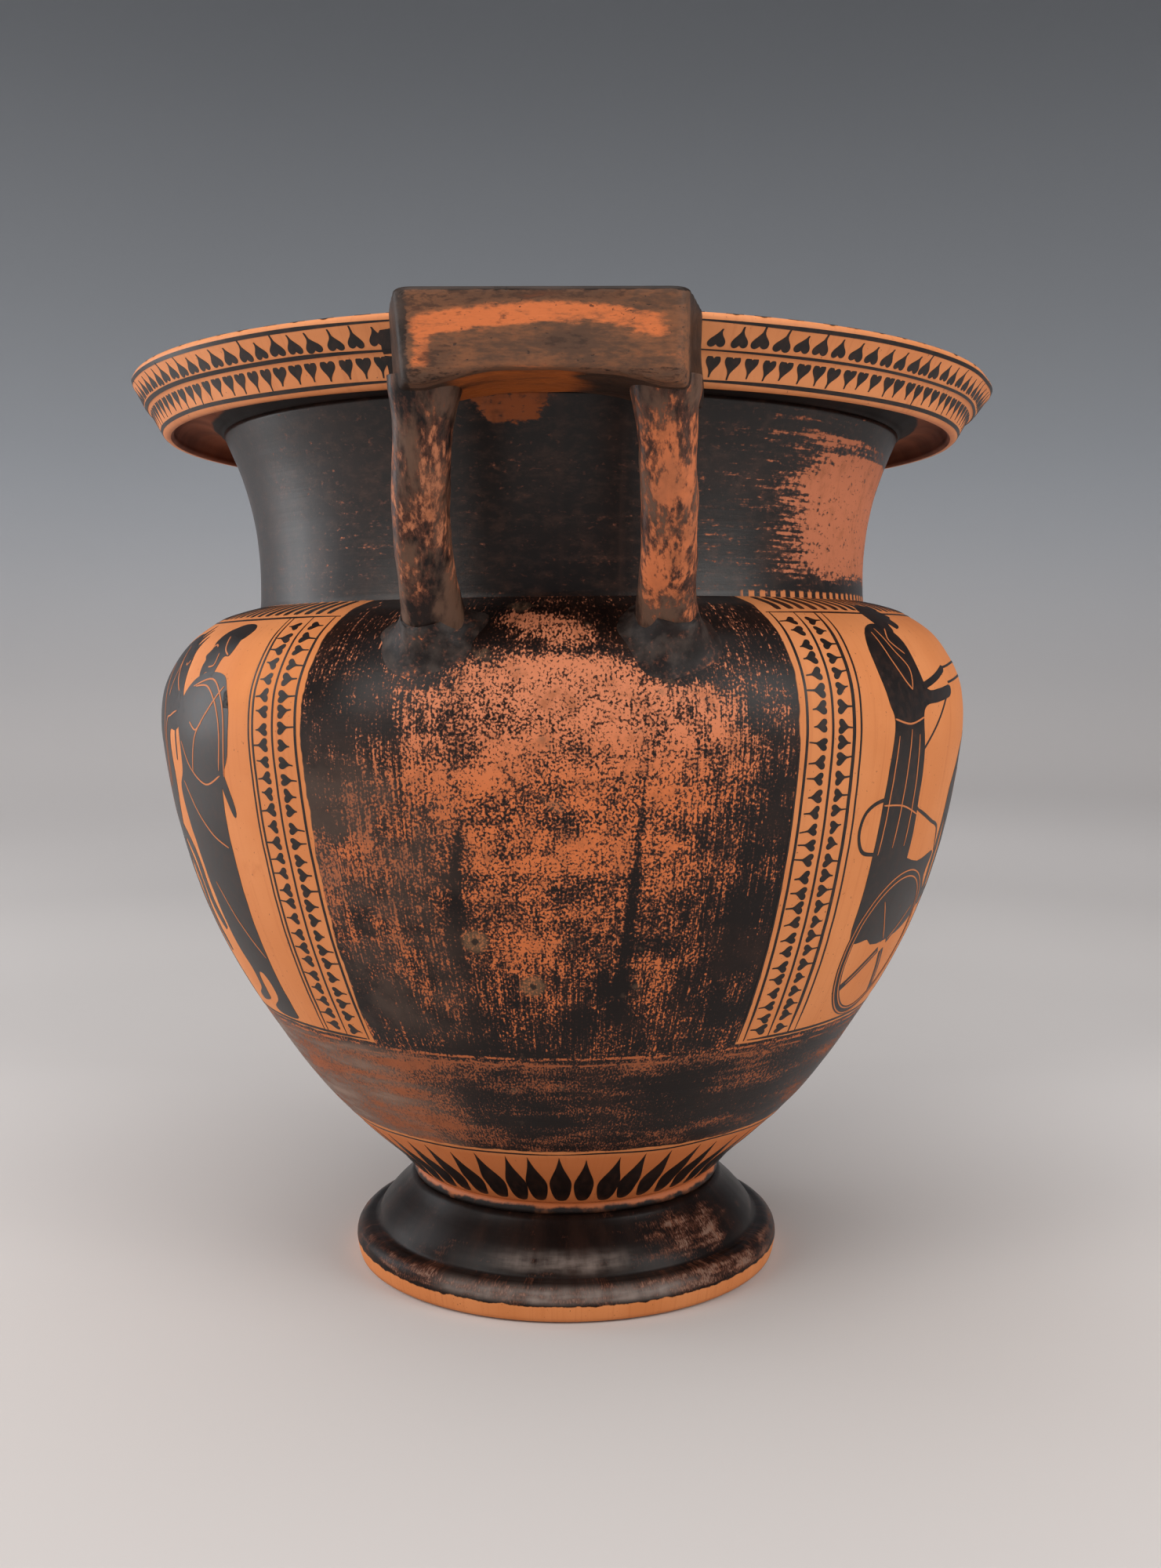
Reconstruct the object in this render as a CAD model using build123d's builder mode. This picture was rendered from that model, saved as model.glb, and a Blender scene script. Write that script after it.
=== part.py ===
"""A wheel-thrown clay column-krater: a wide mixing bowl with a column handle on each side.

Frame: +Z up, origin at the centre of the face that the foot rests on. The handles stand on
the -Y (front) and +Y (back) sides, and the two painted sides face +X and -X. Millimetres.

The pot is made the way a potter makes it: the foot, bowl, neck and rim are turned apart and
luted together with wet clay, then two plates and four columns are luted on as handles.
"""

import os

from build123d import *

# Heights of the joints between the turned pieces
SEAT_Z = 34.6  # the bowl stands on the foot here
COLLAR_TOP_Z = 39.5  # top of the clay collar round that joint
SHOULDER_Z = 280.3  # the neck stands on the bowl here
NECK_TOP_Z = 350.0  # the rim stands on the neck here
RIM_Z = 370.0  # flat top of the rim

# Radii
REST_RADIUS = 91.2  # outer edge of the face that the foot rests on
REST_INNER = 78.5  # inner edge of that face, round the hollow underside
FOOT_RADIUS = 92.6  # widest point of the foot
DOME_RADIUS = 83.3  # foot of the upper, domed stage of the foot
COLLAR_RADIUS = 66.4
COLLAR_SWELL = 0.5  # how far the collar bulges beyond that
SPIGOT_RADIUS = 57.0  # round stub under the bowl, inside the collar
NECK_RADIUS = 128.2  # outside of the neck where it stands on the bowl
MOUTH_RADIUS = 137.0  # inner edge of the rim's flat top
RIM_RADIUS = 177.7  # widest point of the lip
HEM_RADIUS = 163.2  # lowest point of the rim's hanging band
LIP_INNER = 175.0  # where the lip's rounding meets the rim's flat top

WALL = 7.5  # thickness of the thrown walls
FLOOR = 11.0  # thickness of the bowl's floor
FLOOR_RADIUS = 48.0  # the floor is nearly level out to here
FOOT_CEILING = 23.0  # height of the hollow under the foot
CEILING_RADIUS = 38.0  # the hollow is level out to here

# The rim's hanging band, in two steps: (radius, height)
BAND_BASE = (165.6, 349.3)
STEP_BASE = (170.2, 357.6)
STEP_TOP = (171.6, 358.4)
BAND_TOP = (176.0, 365.2)

# Handles
PLATE_BASE_Z = 341.5  # lowest point of a plate, at its two ends
PLATE_ARCH = 4.6  # how far the plate's lower edge rises in the middle
ARCH_HALF = 36.0  # half the span of that rise
PLATE_REACH = 206.0  # from the pot's axis to the plate's outer face, at the top
PLATE_ROOT_WIDTH = 116.0  # plates widen towards the rim; this is their width at the neck
PLATE_CORNER = 5.0  # rounding of the two outer corners
PLATE_EDGE = 1.2  # easing of the upper and lower edges
COLUMN_OFFSET = 38.4  # from the handle's middle plane to a column's middle
SMEAR_HEIGHT = 11.0  # how far up a column the smeared clay at its root goes
CLEARANCE = 10.0  # how far a cutting tool runs past what it cuts

# The smeared clay round a column's root: (share of its height, margin round the column)
SMEAR_SECTIONS = [(0.0, 5.6), (0.55, 1.9), (1.0, 0.3)]

# Where along a thrown wall's outside its inside is measured, from the top down
BOWL_SHARES = [0.93, 0.86, 0.8, 0.74, 0.68, 0.58, 0.48, 0.36, 0.24, 0.14, 0.08]
NECK_SHARES = [0.98, 0.75, 0.5, 0.25]

# One plate, from its lower face to its upper face: (height, reach, width)
PLATE_SECTIONS = [
    (PLATE_BASE_Z, PLATE_REACH - 3.8, 83.6),
    (PLATE_BASE_Z + PLATE_EDGE, PLATE_REACH - 2.8, 85.0),
    (RIM_Z - PLATE_EDGE, PLATE_REACH, 88.8),
    (RIM_Z, PLATE_REACH - 1.0, 87.0),
]

# The bowl's outer wall from the foot joint to the neck joint: (radius, height)
BOWL_WALL = [
    (66.0, COLLAR_TOP_Z),
    (76.4, 50.0),
    (90.6, 63.0),
    (106.6, 80.0),
    (121.0, 100.0),
    (139.5, 130.0),
    (153.4, 160.0),
    (162.5, 190.0),
    (168.0, 220.0),
    (169.2, 236.0),
    (166.6, 251.0),
    (157.4, 266.0),
    (145.0, 275.2),
    (NECK_RADIUS + 1.0, SHOULDER_Z),
]

# The neck's outer wall, which flares into the underside of the rim
NECK_WALL = [
    (NECK_RADIUS, SHOULDER_Z),
    (128.0, 296.0),
    (129.8, 314.0),
    (134.2, 332.0),
    (141.5, NECK_TOP_Z),
]

# One column, from inside the bowl's wall to inside the plate:
# (sideways, outwards, height, outward lean in degrees, half width, half depth)
COLUMN_SECTIONS = [
    (COLUMN_OFFSET + 1.2, 146.6, 267.6, 42, 10.6, 10.0),
    (COLUMN_OFFSET + 0.9, 153.4, 276.4, 34, 9.9, 9.3),
    (COLUMN_OFFSET + 0.3, 165.0, 294.0, 26, 9.3, 8.7),
    (COLUMN_OFFSET, 173.4, 313.0, 18, 9.2, 8.6),
    (COLUMN_OFFSET - 0.4, 178.4, 331.0, 9, 9.3, 8.8),
    (COLUMN_OFFSET - 0.6, 180.4, 346.5, 2, 10.4, 10.0),
]

os.makedirs("parts", exist_ok=True)
nodes = {}


def inner_wall(edge, thickness, shares):
    """Points at a wall's thickness inside an outer wall that runs upwards."""
    points = []
    for share in shares:
        outside, along = edge @ share, edge % share
        points.append((outside.X - along.Y * thickness, outside.Y + along.X * thickness))
    return points


def column_plane(sideways, outwards, height, lean):
    """Plane across a front column, square to the way the column runs there."""
    along = Vector(0, 0, 1).rotate(Axis.X, lean)
    return Plane(origin=(sideways, -outwards, height), x_dir=(1, 0, 0), z_dir=along)


# ---- Foot: a disc with a rounded edge, a domed stage above it and a hollow underside
with BuildPart() as foot:
    with BuildSketch(Plane.XZ):
        with BuildLine():
            rest = Line((REST_INNER, 0), (REST_RADIUS - 1.2, 0))
            arris = ThreePointArc(rest @ 1, (REST_RADIUS - 0.2, 0.45), (REST_RADIUS + 0.3, 1.6))
            side = Line(arris @ 1, (FOOT_RADIUS, 7.6))
            edge = ThreePointArc(side @ 1, (90.9, 12.2), (86.2, 14.7))
            groove = ThreePointArc(edge @ 1, (84.4, 14.2), (DOME_RADIUS, 15.2))
            dome = Spline(
                groove @ 1, (81.6, 18.8), (77.2, 24.2), (71.6, 29.6), (68.0, SEAT_Z - 0.6),
                tangents=[(-0.1, 1), (-0.3, 1)],
            )
            lip = ThreePointArc(dome @ 1, (67.4, SEAT_Z - 0.1), (66.6, SEAT_Z))
            seat = Line(lip @ 1, (0, SEAT_Z))
            axis_line = Line(seat @ 1, (0, FOOT_CEILING))
            ceiling = Line(axis_line @ 1, (CEILING_RADIUS, FOOT_CEILING))
            cavity = ThreePointArc(ceiling @ 1, (64.0, 16.0), (REST_INNER - 2.0, 2.6))
            inner_arris = ThreePointArc(cavity @ 1, (REST_INNER - 1.5, 0.8), rest @ 0)
        make_face()
    revolve(axis=Axis.Z)
nodes["foot"] = foot

# ---- Collar: the roll of clay that seals the joint between the foot and the bowl
with BuildPart() as foot_collar:
    with BuildSketch(Plane.XZ):
        with BuildLine():
            base = Line((SPIGOT_RADIUS, SEAT_Z), (COLLAR_RADIUS, SEAT_Z))
            bulge = (COLLAR_RADIUS + COLLAR_SWELL, (SEAT_Z + COLLAR_TOP_Z) / 2)
            swell = ThreePointArc(base @ 1, bulge, (BOWL_WALL[0][0] - 0.4, COLLAR_TOP_Z))
            Polyline(swell @ 1, (SPIGOT_RADIUS, COLLAR_TOP_Z), base @ 0)
        make_face()
    revolve(axis=Axis.Z)
nodes["foot_collar"] = foot_collar

# ---- Bowl: one thrown shell with a round stub under its floor
with BuildPart() as bowl:
    with BuildSketch(Plane.XZ):
        with BuildLine():
            wall = Spline(*BOWL_WALL, tangents=[(0.75, 1), (-1, 0.22)])
            hollow = inner_wall(wall, WALL, BOWL_SHARES)
            top = Line(wall @ 1, (NECK_RADIUS - WALL, SHOULDER_Z))
            throat = Line(top @ 1, (NECK_RADIUS - WALL, SHOULDER_Z - WALL))
            floor_edge = (FLOOR_RADIUS, COLLAR_TOP_Z + FLOOR)
            inside = Spline(throat @ 1, *hollow, floor_edge, (0, SEAT_Z + FLOOR))
            Polyline(
                inside @ 1, (0, SEAT_Z), (SPIGOT_RADIUS, SEAT_Z), (SPIGOT_RADIUS, COLLAR_TOP_Z), wall @ 0
            )
        make_face()
    revolve(axis=Axis.Z)
nodes["bowl"] = bowl

# ---- Neck: a short thrown cylinder that flares at the top
with BuildPart() as neck:
    with BuildSketch(Plane.XZ):
        with BuildLine():
            wall = Spline(*NECK_WALL, tangents=[(0, 1), (0.55, 1)])
            bore = inner_wall(wall, WALL, NECK_SHARES)
            top = Line(wall @ 1, (NECK_WALL[-1][0] - WALL, NECK_TOP_Z))
            inside = Spline(top @ 1, *bore, (NECK_RADIUS - WALL, SHOULDER_Z))
            Line(inside @ 1, wall @ 0)
        make_face()
    revolve(axis=Axis.Z)
nodes["neck"] = neck

# ---- Rim: a flat ring on the neck with a band hanging from its outer edge, in two steps
with BuildPart() as rim:
    with BuildSketch(Plane.XZ):
        with BuildLine():
            joint = Line((NECK_WALL[-1][0] - WALL, NECK_TOP_Z), NECK_WALL[-1])
            under = Spline(
                joint @ 1, (147.0, 354.6), (154.0, 356.0), (159.4, 353.6), (161.0, 349.6),
                tangents=[(0.55, 1), (0.1, -1)],
            )
            hem = ThreePointArc(under @ 1, (HEM_RADIUS, 347.8), BAND_BASE)
            lower_band = Line(hem @ 1, STEP_BASE)
            step = Line(lower_band @ 1, STEP_TOP)
            upper_band = Line(step @ 1, BAND_TOP)
            lip = ThreePointArc(upper_band @ 1, (RIM_RADIUS, 367.8), (LIP_INNER, RIM_Z))
            flat = Line(lip @ 1, (MOUTH_RADIUS + 3.0, RIM_Z - 0.6))
            mouth_edge = (MOUTH_RADIUS + 0.8, RIM_Z - 1.6)
            round_over = ThreePointArc(flat @ 1, mouth_edge, (MOUTH_RADIUS, RIM_Z - 4.0))
            Spline(round_over @ 1, (MOUTH_RADIUS - 1.2, 358.0), joint @ 0)
        make_face()
    revolve(axis=Axis.Z)
nodes["rim"] = rim

# ---- Front plate: a slab that carries the rim outwards over the two columns
with BuildPart() as plate_front:
    for height, reach, width in PLATE_SECTIONS:
        with BuildSketch(Plane.XY.offset(height)):
            with BuildLine():
                outer_corners = Polyline(
                    (-PLATE_ROOT_WIDTH / 2, -NECK_RADIUS), (-width / 2, -reach),
                    (width / 2, -reach), (PLATE_ROOT_WIDTH / 2, -NECK_RADIUS),
                )
                Line(outer_corners @ 1, outer_corners @ 0)
            face = make_face()
            fillet(face.vertices().sort_by(Axis.Y)[:2], radius=PLATE_CORNER)
    loft(ruled=True)
    with BuildSketch(Plane.XZ):
        with BuildLine():
            crown = (0, PLATE_BASE_Z + PLATE_ARCH)
            arch = ThreePointArc((-ARCH_HALF, PLATE_BASE_Z), crown, (ARCH_HALF, PLATE_BASE_Z))
            below = PLATE_BASE_Z - CLEARANCE
            Polyline(arch @ 1, (ARCH_HALF, below), (-ARCH_HALF, below), arch @ 0)
        make_face()
    extrude(amount=PLATE_REACH + CLEARANCE, mode=Mode.SUBTRACT)
    with BuildSketch(Plane.XY.offset(PLATE_BASE_Z - CLEARANCE)):
        Circle(HEM_RADIUS)
    extrude(amount=RIM_Z - PLATE_BASE_Z + CLEARANCE / 2, mode=Mode.SUBTRACT)
    with BuildSketch(Plane.XY.offset(RIM_Z - CLEARANCE / 2)):
        Circle(LIP_INNER)
    extrude(amount=2 * CLEARANCE, mode=Mode.SUBTRACT)
    add(rim.part, mode=Mode.SUBTRACT)
nodes["handle_plate_front"] = plate_front

# ---- Columns and the clay smeared round their roots, left and right of the front handle
for side, sign in (("left", -1), ("right", 1)):
    with BuildPart() as column:
        for sideways, outwards, height, lean, half_width, half_depth in COLUMN_SECTIONS:
            with BuildSketch(column_plane(sign * sideways, outwards, height, lean)):
                Ellipse(half_width, half_depth)
        loft()
        add(plate_front.part, mode=Mode.SUBTRACT)
        add(bowl.part, mode=Mode.SUBTRACT)
    nodes[f"handle_column_front_{side}"] = column

    sideways, outwards, height, lean, half_width, half_depth = COLUMN_SECTIONS[0]
    root_plane = column_plane(sign * sideways, outwards, height, lean)
    with BuildPart() as smear:
        for share, margin in SMEAR_SECTIONS:
            with BuildSketch(root_plane.offset(SMEAR_HEIGHT * share)):
                Ellipse(half_width + margin, half_depth + margin)
        loft()
        add(column.part, mode=Mode.SUBTRACT)
        add(bowl.part, mode=Mode.SUBTRACT)
    nodes[f"handle_root_front_{side}"] = smear

# ---- Back handle: the same pieces, half a turn round the pot
for name in [name for name in nodes if "_front" in name]:
    with BuildPart() as turned:
        add(nodes[name].part, rotation=(0, 0, 180))
    nodes[name.replace("_front", "_back")] = turned

for name, piece in nodes.items():
    piece.part.label = name
    export_step(piece.part, f"parts/{name}.step")
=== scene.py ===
"""The looks of a black-figure column-krater: turned clay, hand-built handles and painted slip.

Lengths are in millimetres and become metres where a point is placed. A place on an outer wall
is a turn (degrees round the axis, 0 at the front handle on -Y and 90 at +X) and an arc
(millimetres along the wall's section from its first point). A lift is a height above the wall.
"""

import bisect
import math
import random
from functools import partialmethod

import bpy
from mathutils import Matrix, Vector, noise
from mathutils.geometry import delaunay_2d_cdt


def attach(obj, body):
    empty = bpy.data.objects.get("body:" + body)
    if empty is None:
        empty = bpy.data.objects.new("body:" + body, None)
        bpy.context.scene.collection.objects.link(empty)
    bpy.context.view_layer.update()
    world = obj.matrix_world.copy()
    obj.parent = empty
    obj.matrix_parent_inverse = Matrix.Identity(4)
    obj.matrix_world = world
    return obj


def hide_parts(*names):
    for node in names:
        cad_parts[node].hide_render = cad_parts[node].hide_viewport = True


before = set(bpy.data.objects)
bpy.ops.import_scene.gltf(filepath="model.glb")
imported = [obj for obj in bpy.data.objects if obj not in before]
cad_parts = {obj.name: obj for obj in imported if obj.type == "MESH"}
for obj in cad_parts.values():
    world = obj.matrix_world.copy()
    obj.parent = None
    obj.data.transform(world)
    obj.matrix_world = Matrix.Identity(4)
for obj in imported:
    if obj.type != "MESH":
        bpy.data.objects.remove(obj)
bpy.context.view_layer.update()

MM = 0.001
PER_METRE = 1000
SEGMENTS = 288  # facets round a turned piece
ROW = 1.7  # height of a facet on a turned piece
RIM_Z = 370
RIM_RADIUS = 177.7
NECK_Z = 280.3
WALL_SCALE = 165  # radius at which noise that runs round the pot has its true size
TONGUE_PITCH = 2.4  # degrees from one tongue of the shoulder pattern to the next
PANEL_BASE = 102.4  # arc of the panels' lower edge on the bowl
PANEL_TOP = 275  # arc of the line under the tongues
NECK_ARC = 294  # arc on the bowl where the neck stands
ROOT_ARC = 265  # arc on the bowl of the middle of a column's root
ROOT_TURN = 15  # degrees from a handle's middle to a column's root
NO_ARC = -60  # what a mesh records as arc where it is not a painted wall
SIDES = (90, 270)  # turns of the middles of the two painted sides
HANDLES = (0, 180)  # turns of the middles of the two handles

# How far the pot is from true
LEAN = 2  # how far the rim is to the left of the foot
SHOULDER_TILT = 2.3  # how far the shoulder is up on the right and down on the left
TILT_Z = 264  # where it is so most
TILT_SPREAD = 36
MOUTH_SAG = 0.45  # how far the mouth has sunk
MOUTH_TILT = 0.3  # how much further on the right than in the middle
MOUTH_BASE_Z = 262  # the mouth's sinking starts here
TILT_REACH = 178  # distance from the axis at which both tilts are measured
LEAN_LIMIT = 166  # the lean fades out from this distance to the rim's edge

# Sections of the outer walls, as (radius, height), in the order that the arc follows
FOOT_WALL = [
    (89.6, 0.3), (90.6, 0.5), (91.4, 1.2), (92, 3.8), (92.6, 7.4), (92.1, 10.6), (90.6, 12.8),
    (88.2, 14.3), (86, 14.7), (84.6, 14.3), (83.8, 14.5), (82.9, 16.2), (81.4, 19.2),
    (77.2, 24.2), (71.6, 29.6), (69.2, 32.2), (68.1, 33.9), (67.5, 34.4), (66.2, 34.6),
]
COLLAR_WALL = [(64.8, 34.4), (66.2, 34.8), (67, 36.4), (66.7, 38.4), (65.9, 39.4), (64.6, 39.8)]
COLLAR_INSIDE = [(64.6, 39.8), (57, 39.6), (57, 34.6), (64.8, 34.4)]
BOWL_WALL = [
    (65.9, 39.5), (70.6, 43.6), (76.4, 50), (90.6, 63), (106.6, 80), (121, 100),
    (139.5, 130), (153.4, 160), (162.5, 190), (168, 220), (169.2, 236),
    (166.6, 251), (157.4, 266), (145, 275.2), (136.6, 278.4), (129.2, NECK_Z),
]
NECK_WALL = [
    (128.9, 279.6), (128.1, 281.4), (128, 296), (129.8, 314), (134.2, 332), (141.5, 350),
]
RIM_WALL = [
    (162.6, 347.9), (164.2, 348), (165.6, 349.3), (167.9, 353.4), (169.9, 357),
    (170.7, 357.9), (171.7, 358.5), (172.8, 360), (175.9, 365), (177.2, 366.6),
    (177.5, 368), (176.9, 369.4), (175, RIM_Z),
]
RIM_TOP_WALL = [
    (175, RIM_Z), (170, 369.9), (158, 369.7), (146, 369.5), (140.4, 369.3),
    (138, 368.4), (137, 366.2),
]

# Sections of the surfaces that no painting is laid on
FOOT_UNDER = [
    (66.2, 34.6), (0, 34.6), (0, 23), (30, 23), (46, 21.6), (58, 18),
    (68, 12), (76.2, 3), (77, 0.8), (78.4, 0.1), (89.6, 0.3),
]
BOWL_INSIDE = [
    (129.2, NECK_Z), (120.7, NECK_Z), (120.6, 274.6), (124, 272.4), (134, 269.4),
    (146, 262), (155.4, 250), (160.9, 235), (160.2, 220), (155, 190),
    (146, 160), (132, 130), (113.6, 101), (98, 80), (81, 62.4), (62, 52.4),
    (36, 47), (12, 45.7), (0, 45.6),
]
BOWL_UNDER = [(0, 34.6), (56.8, 34.6), (56.8, 39.5), (65.9, 39.5)]
NECK_INSIDE = [
    (141.5, 350), (134, 350), (129.6, 340), (126, 330), (122.3, 314),
    (120.6, 296), (120.7, 279.6), (128.9, 279.6),
]
RIM_INSIDE = [(137, 366.2), (136, 358), (134, 350)]
RIM_UNDER = [
    (134, 350), (141.5, 350), (144, 352.4), (148, 354.8), (154, 355.9),
    (158.6, 354.4), (160.8, 351), (161.4, 348.9), (162.6, 347.9),
]


# ---- Lines and places

def smooth(points, steps=12, closed=False):
    """A Catmull-Rom line through points. A point given twice makes a corner."""
    count = len(points)
    last = count if closed else count - 1
    line = []
    for i in range(last):
        if closed:
            a, b, c, d = (points[(i + k) % count] for k in (-1, 0, 1, 2))
        else:
            a, b = points[max(i - 1, 0)], points[i]
            c, d = points[i + 1], points[min(i + 2, count - 1)]
        if b == c:
            continue
        for step in range(steps):
            t = step / steps
            line.append(tuple(
                0.5 * (2 * q + (r - p) * t + (2 * p - 5 * q + 4 * r - s) * t * t
                       + (3 * q - p - 3 * r + s) * t ** 3)
                for p, q, r, s in zip(a, b, c, d)
            ))
    if not closed:
        line.append(tuple(points[-1]))
    return line


def ease(low, high, value):
    """0 at low and 1 at high, with a smooth rise between. It falls when low is the larger."""
    t = min(max((value - low) / (high - low), 0), 1)
    return t * t * (3 - 2 * t)


def by_hand(x, y, z):
    """A point in metres with the faults of a hand-made pot: it leans and its shoulder tilts."""
    across = x / TILT_REACH
    mouth = ease(MOUTH_BASE_Z, RIM_Z, z)
    shoulder = math.exp(-(((z - TILT_Z) / TILT_SPREAD) ** 2))
    z += SHOULDER_TILT * across * shoulder - (MOUTH_SAG + MOUTH_TILT * across) * mouth
    x -= LEAN * z / RIM_Z * ease(RIM_RADIUS, LEAN_LIMIT, abs(x))
    return Vector((x, y, z)) * MM


def polar(turn, radius, height):
    """A point in metres from cylindrical coordinates."""
    a = math.radians(turn)
    return by_hand(radius * math.sin(a), -radius * math.cos(a), height)


class Wall:
    """A painted outer wall of a turned piece."""

    def __init__(self, points, ripple=0.16, seed=0):
        self.line = smooth(points)
        self.arcs = [0]
        for low, high in zip(self.line, self.line[1:]):
            self.arcs.append(self.arcs[-1] + math.dist(low, high))
        self.length = self.arcs[-1]
        self.ripple = ripple
        self.seed = seed

    def at(self, arc):
        """Radius, height and the outward direction of a place on the wall."""
        i = min(max(bisect.bisect(self.arcs, arc), 1), len(self.arcs) - 1)
        (r0, z0), (r1, z1) = self.line[i - 1], self.line[i]
        span = self.arcs[i] - self.arcs[i - 1]
        t = (arc - self.arcs[i - 1]) / span
        return r0 + (r1 - r0) * t, z0 + (z1 - z0) * t, (z1 - z0) / span, (r0 - r1) / span

    def place(self, turn, arc, lift=0):
        """A point in metres, on the wall or a little above it."""
        radius, height, out_r, out_z = self.at(arc)
        a = math.radians(turn)
        ring = Vector((math.cos(a) * 1.4, math.sin(a) * 1.4, arc / 7 + self.seed))
        slow = Vector((math.cos(a) * 1.1, math.sin(a) * 1.1, arc / 38 + self.seed))
        lift += self.ripple * (noise.noise(ring) * 0.6 + noise.noise(slow) * 1.6)
        return polar(turn, radius + out_r * lift, height + out_z * lift)

    def arc_at(self, height):
        """The arc of the place at this height, on a wall that only rises."""
        i = bisect.bisect([z for _, z in self.line], height)
        return self.arcs[min(max(i, 0), len(self.arcs) - 1)]

    def across(self, arc):
        """Millimetres to one degree of turn."""
        return math.radians(self.at(arc)[0])

    def rows(self):
        count = max(2, round(self.length / ROW))
        return [self.length * i / count for i in range(count + 1)]


foot_wall = Wall(FOOT_WALL, 0.1, 3)
collar_wall = Wall(COLLAR_WALL, 0.25, 5)
bowl_wall = Wall(BOWL_WALL, 0.16, 11)
neck_wall = Wall(NECK_WALL, 0.16, 23)
rim_wall = Wall(RIM_WALL, 0.12, 31)
rim_top_wall = Wall(RIM_TOP_WALL, 0.12, 31)


# ---- Shaders

def plug(tree, slot, value):
    """Feeds a shader input from a field, a socket or a plain value."""
    if isinstance(value, Field):
        value = value.socket
    if isinstance(value, bpy.types.NodeSocket):
        tree.links.new(value, slot)
    else:
        slot.default_value = value


def add_node(tree, kind, **inputs):
    """A new shader node, with what its inputs are fed from; _ stands for a space in a name."""
    node = tree.nodes.new("ShaderNode" + kind)
    for name, value in inputs.items():
        plug(tree, node.inputs[name.replace("_", " ")], value)
    return node


class Field:
    """A value that varies over a surface: a shader socket that takes arithmetic."""

    def __init__(self, tree, socket):
        self.tree = tree
        self.socket = socket

    def math(self, operation, *others):
        node = add_node(self.tree, "Math")
        node.operation = operation
        for slot, value in zip(node.inputs, (self, *others)):
            plug(self.tree, slot, value)
        return Field(self.tree, node.outputs[0])

    __add__ = __radd__ = partialmethod(math, "ADD")
    __sub__ = partialmethod(math, "SUBTRACT")
    __mul__ = __rmul__ = partialmethod(math, "MULTIPLY")
    __truediv__ = partialmethod(math, "DIVIDE")
    __neg__ = partialmethod(math, "MULTIPLY", -1)
    __abs__ = partialmethod(math, "ABSOLUTE")
    squared = partialmethod(math, "POWER", 2)
    most = partialmethod(math, "MAXIMUM")
    least = partialmethod(math, "MINIMUM")

    def __rsub__(self, other):
        return -self + other

    def rise(self, low, high):
        """0 at low and 1 at high, eased between. It falls when low is the larger."""
        node = add_node(self.tree, "MapRange", Value=self, From_Min=low, From_Max=high)
        node.interpolation_type = "SMOOTHSTEP"
        return Field(self.tree, node.outputs["Result"])

    def between(self, low, high, soft):
        return self.rise(low - soft, low + soft) * self.rise(high + soft, high - soft)

    def curve(self, points):
        """A value looked up on a smooth line through given points, in order."""
        xs, ys = [p[0] for p in points], [p[1] for p in points]
        x_span, y_low, y_span = xs[-1] - xs[0], min(ys), (max(ys) - min(ys)) or 1
        node = add_node(self.tree, "FloatCurve", Value=(self - xs[0]) / x_span)
        line = node.mapping.curves[0]
        while len(line.points) < len(points):
            line.points.new(0.5, 0.5)
        for knot, (x, y) in zip(line.points, points):
            knot.location = ((x - xs[0]) / x_span, (y - y_low) / y_span)
        node.mapping.update()
        return Field(self.tree, node.outputs[0]) * y_span + y_low


class Surface:
    """One procedural material under construction."""

    def __init__(self, name):
        self.material = bpy.data.materials.new(name)
        self.material.use_nodes = True
        self.tree = self.material.node_tree
        self.tree.nodes.clear()
        self.shader = add_node(self.tree, "BsdfPrincipled")
        add_node(self.tree, "OutputMaterial", Surface=self.shader.outputs[0])
        self.solid = add_node(self.tree, "TexCoord").outputs["Object"]
        split = add_node(self.tree, "SeparateXYZ", Vector=self.solid)
        self.x, self.y, self.z = (Field(self.tree, s) * PER_METRE for s in split.outputs)
        self.radius = (self.x * self.x + self.y * self.y).math("SQRT")
        self.turn = self.x.math("ARCTAN2", -self.y) * math.degrees(1)
        self.handle_turn = (self.x / (-self.y)).math("ARCTANGENT") * math.degrees(1)
        x, y = (place / self.radius * (WALL_SCALE * MM) for place in (self.x, self.y))
        self.round = add_node(self.tree, "CombineXYZ", X=x, Y=y, Z=self.z * MM).outputs[0]

    def arc(self):
        """The mesh's own record of how far along the wall a point is."""
        node = add_node(self.tree, "Attribute")
        node.attribute_name = "arc"
        return Field(self.tree, node.outputs["Fac"])

    def noise(self, size, stretch=(1, 1, 1), detail=3, rough=0.55, seed=0, solid=False):
        """Noise about 0.5 whose grains are size millimetres, longer where stretch is small."""
        shift = (seed * 0.37, seed * 0.61, seed * 0.23)
        place = self.solid if solid else self.round
        place = add_node(self.tree, "Mapping", Vector=place, Scale=stretch, Location=shift).outputs[0]
        node = add_node(self.tree, "TexNoise", Vector=place, Scale=PER_METRE / size, Detail=detail)
        plug(self.tree, node.inputs["Roughness"], rough)
        return Field(self.tree, node.outputs["Fac"])

    def grain(self, *place, **options):
        """The same noise about 0."""
        return self.noise(*place, **options) - 0.5

    def mix(self, factor, first, second):
        """A colour from first to second; each is a colour or a colour socket."""
        node = add_node(self.tree, "Mix")
        node.data_type = "RGBA"
        colours = [(*value, 1) if isinstance(value, tuple) else value for value in (first, second)]
        for slot, value in zip((node.inputs["Factor"], *node.inputs[6:8]), (factor, *colours)):
            plug(self.tree, slot, value)
        return node.outputs[2]

    def finish(self, colour, rough, height=None, sheen=0.35):
        """Connects a colour, a roughness, a height in millimetres and a sheen to the shader."""
        inputs = self.shader.inputs
        for name, value in (("Base Color", colour), ("Roughness", rough), ("Specular IOR Level", sheen)):
            plug(self.tree, inputs[name], value)
        if height is not None:
            bump = add_node(self.tree, "Bump", Distance=MM, Height=height)
            plug(self.tree, inputs["Normal"], bump.outputs[0])
        return self.material


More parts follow.
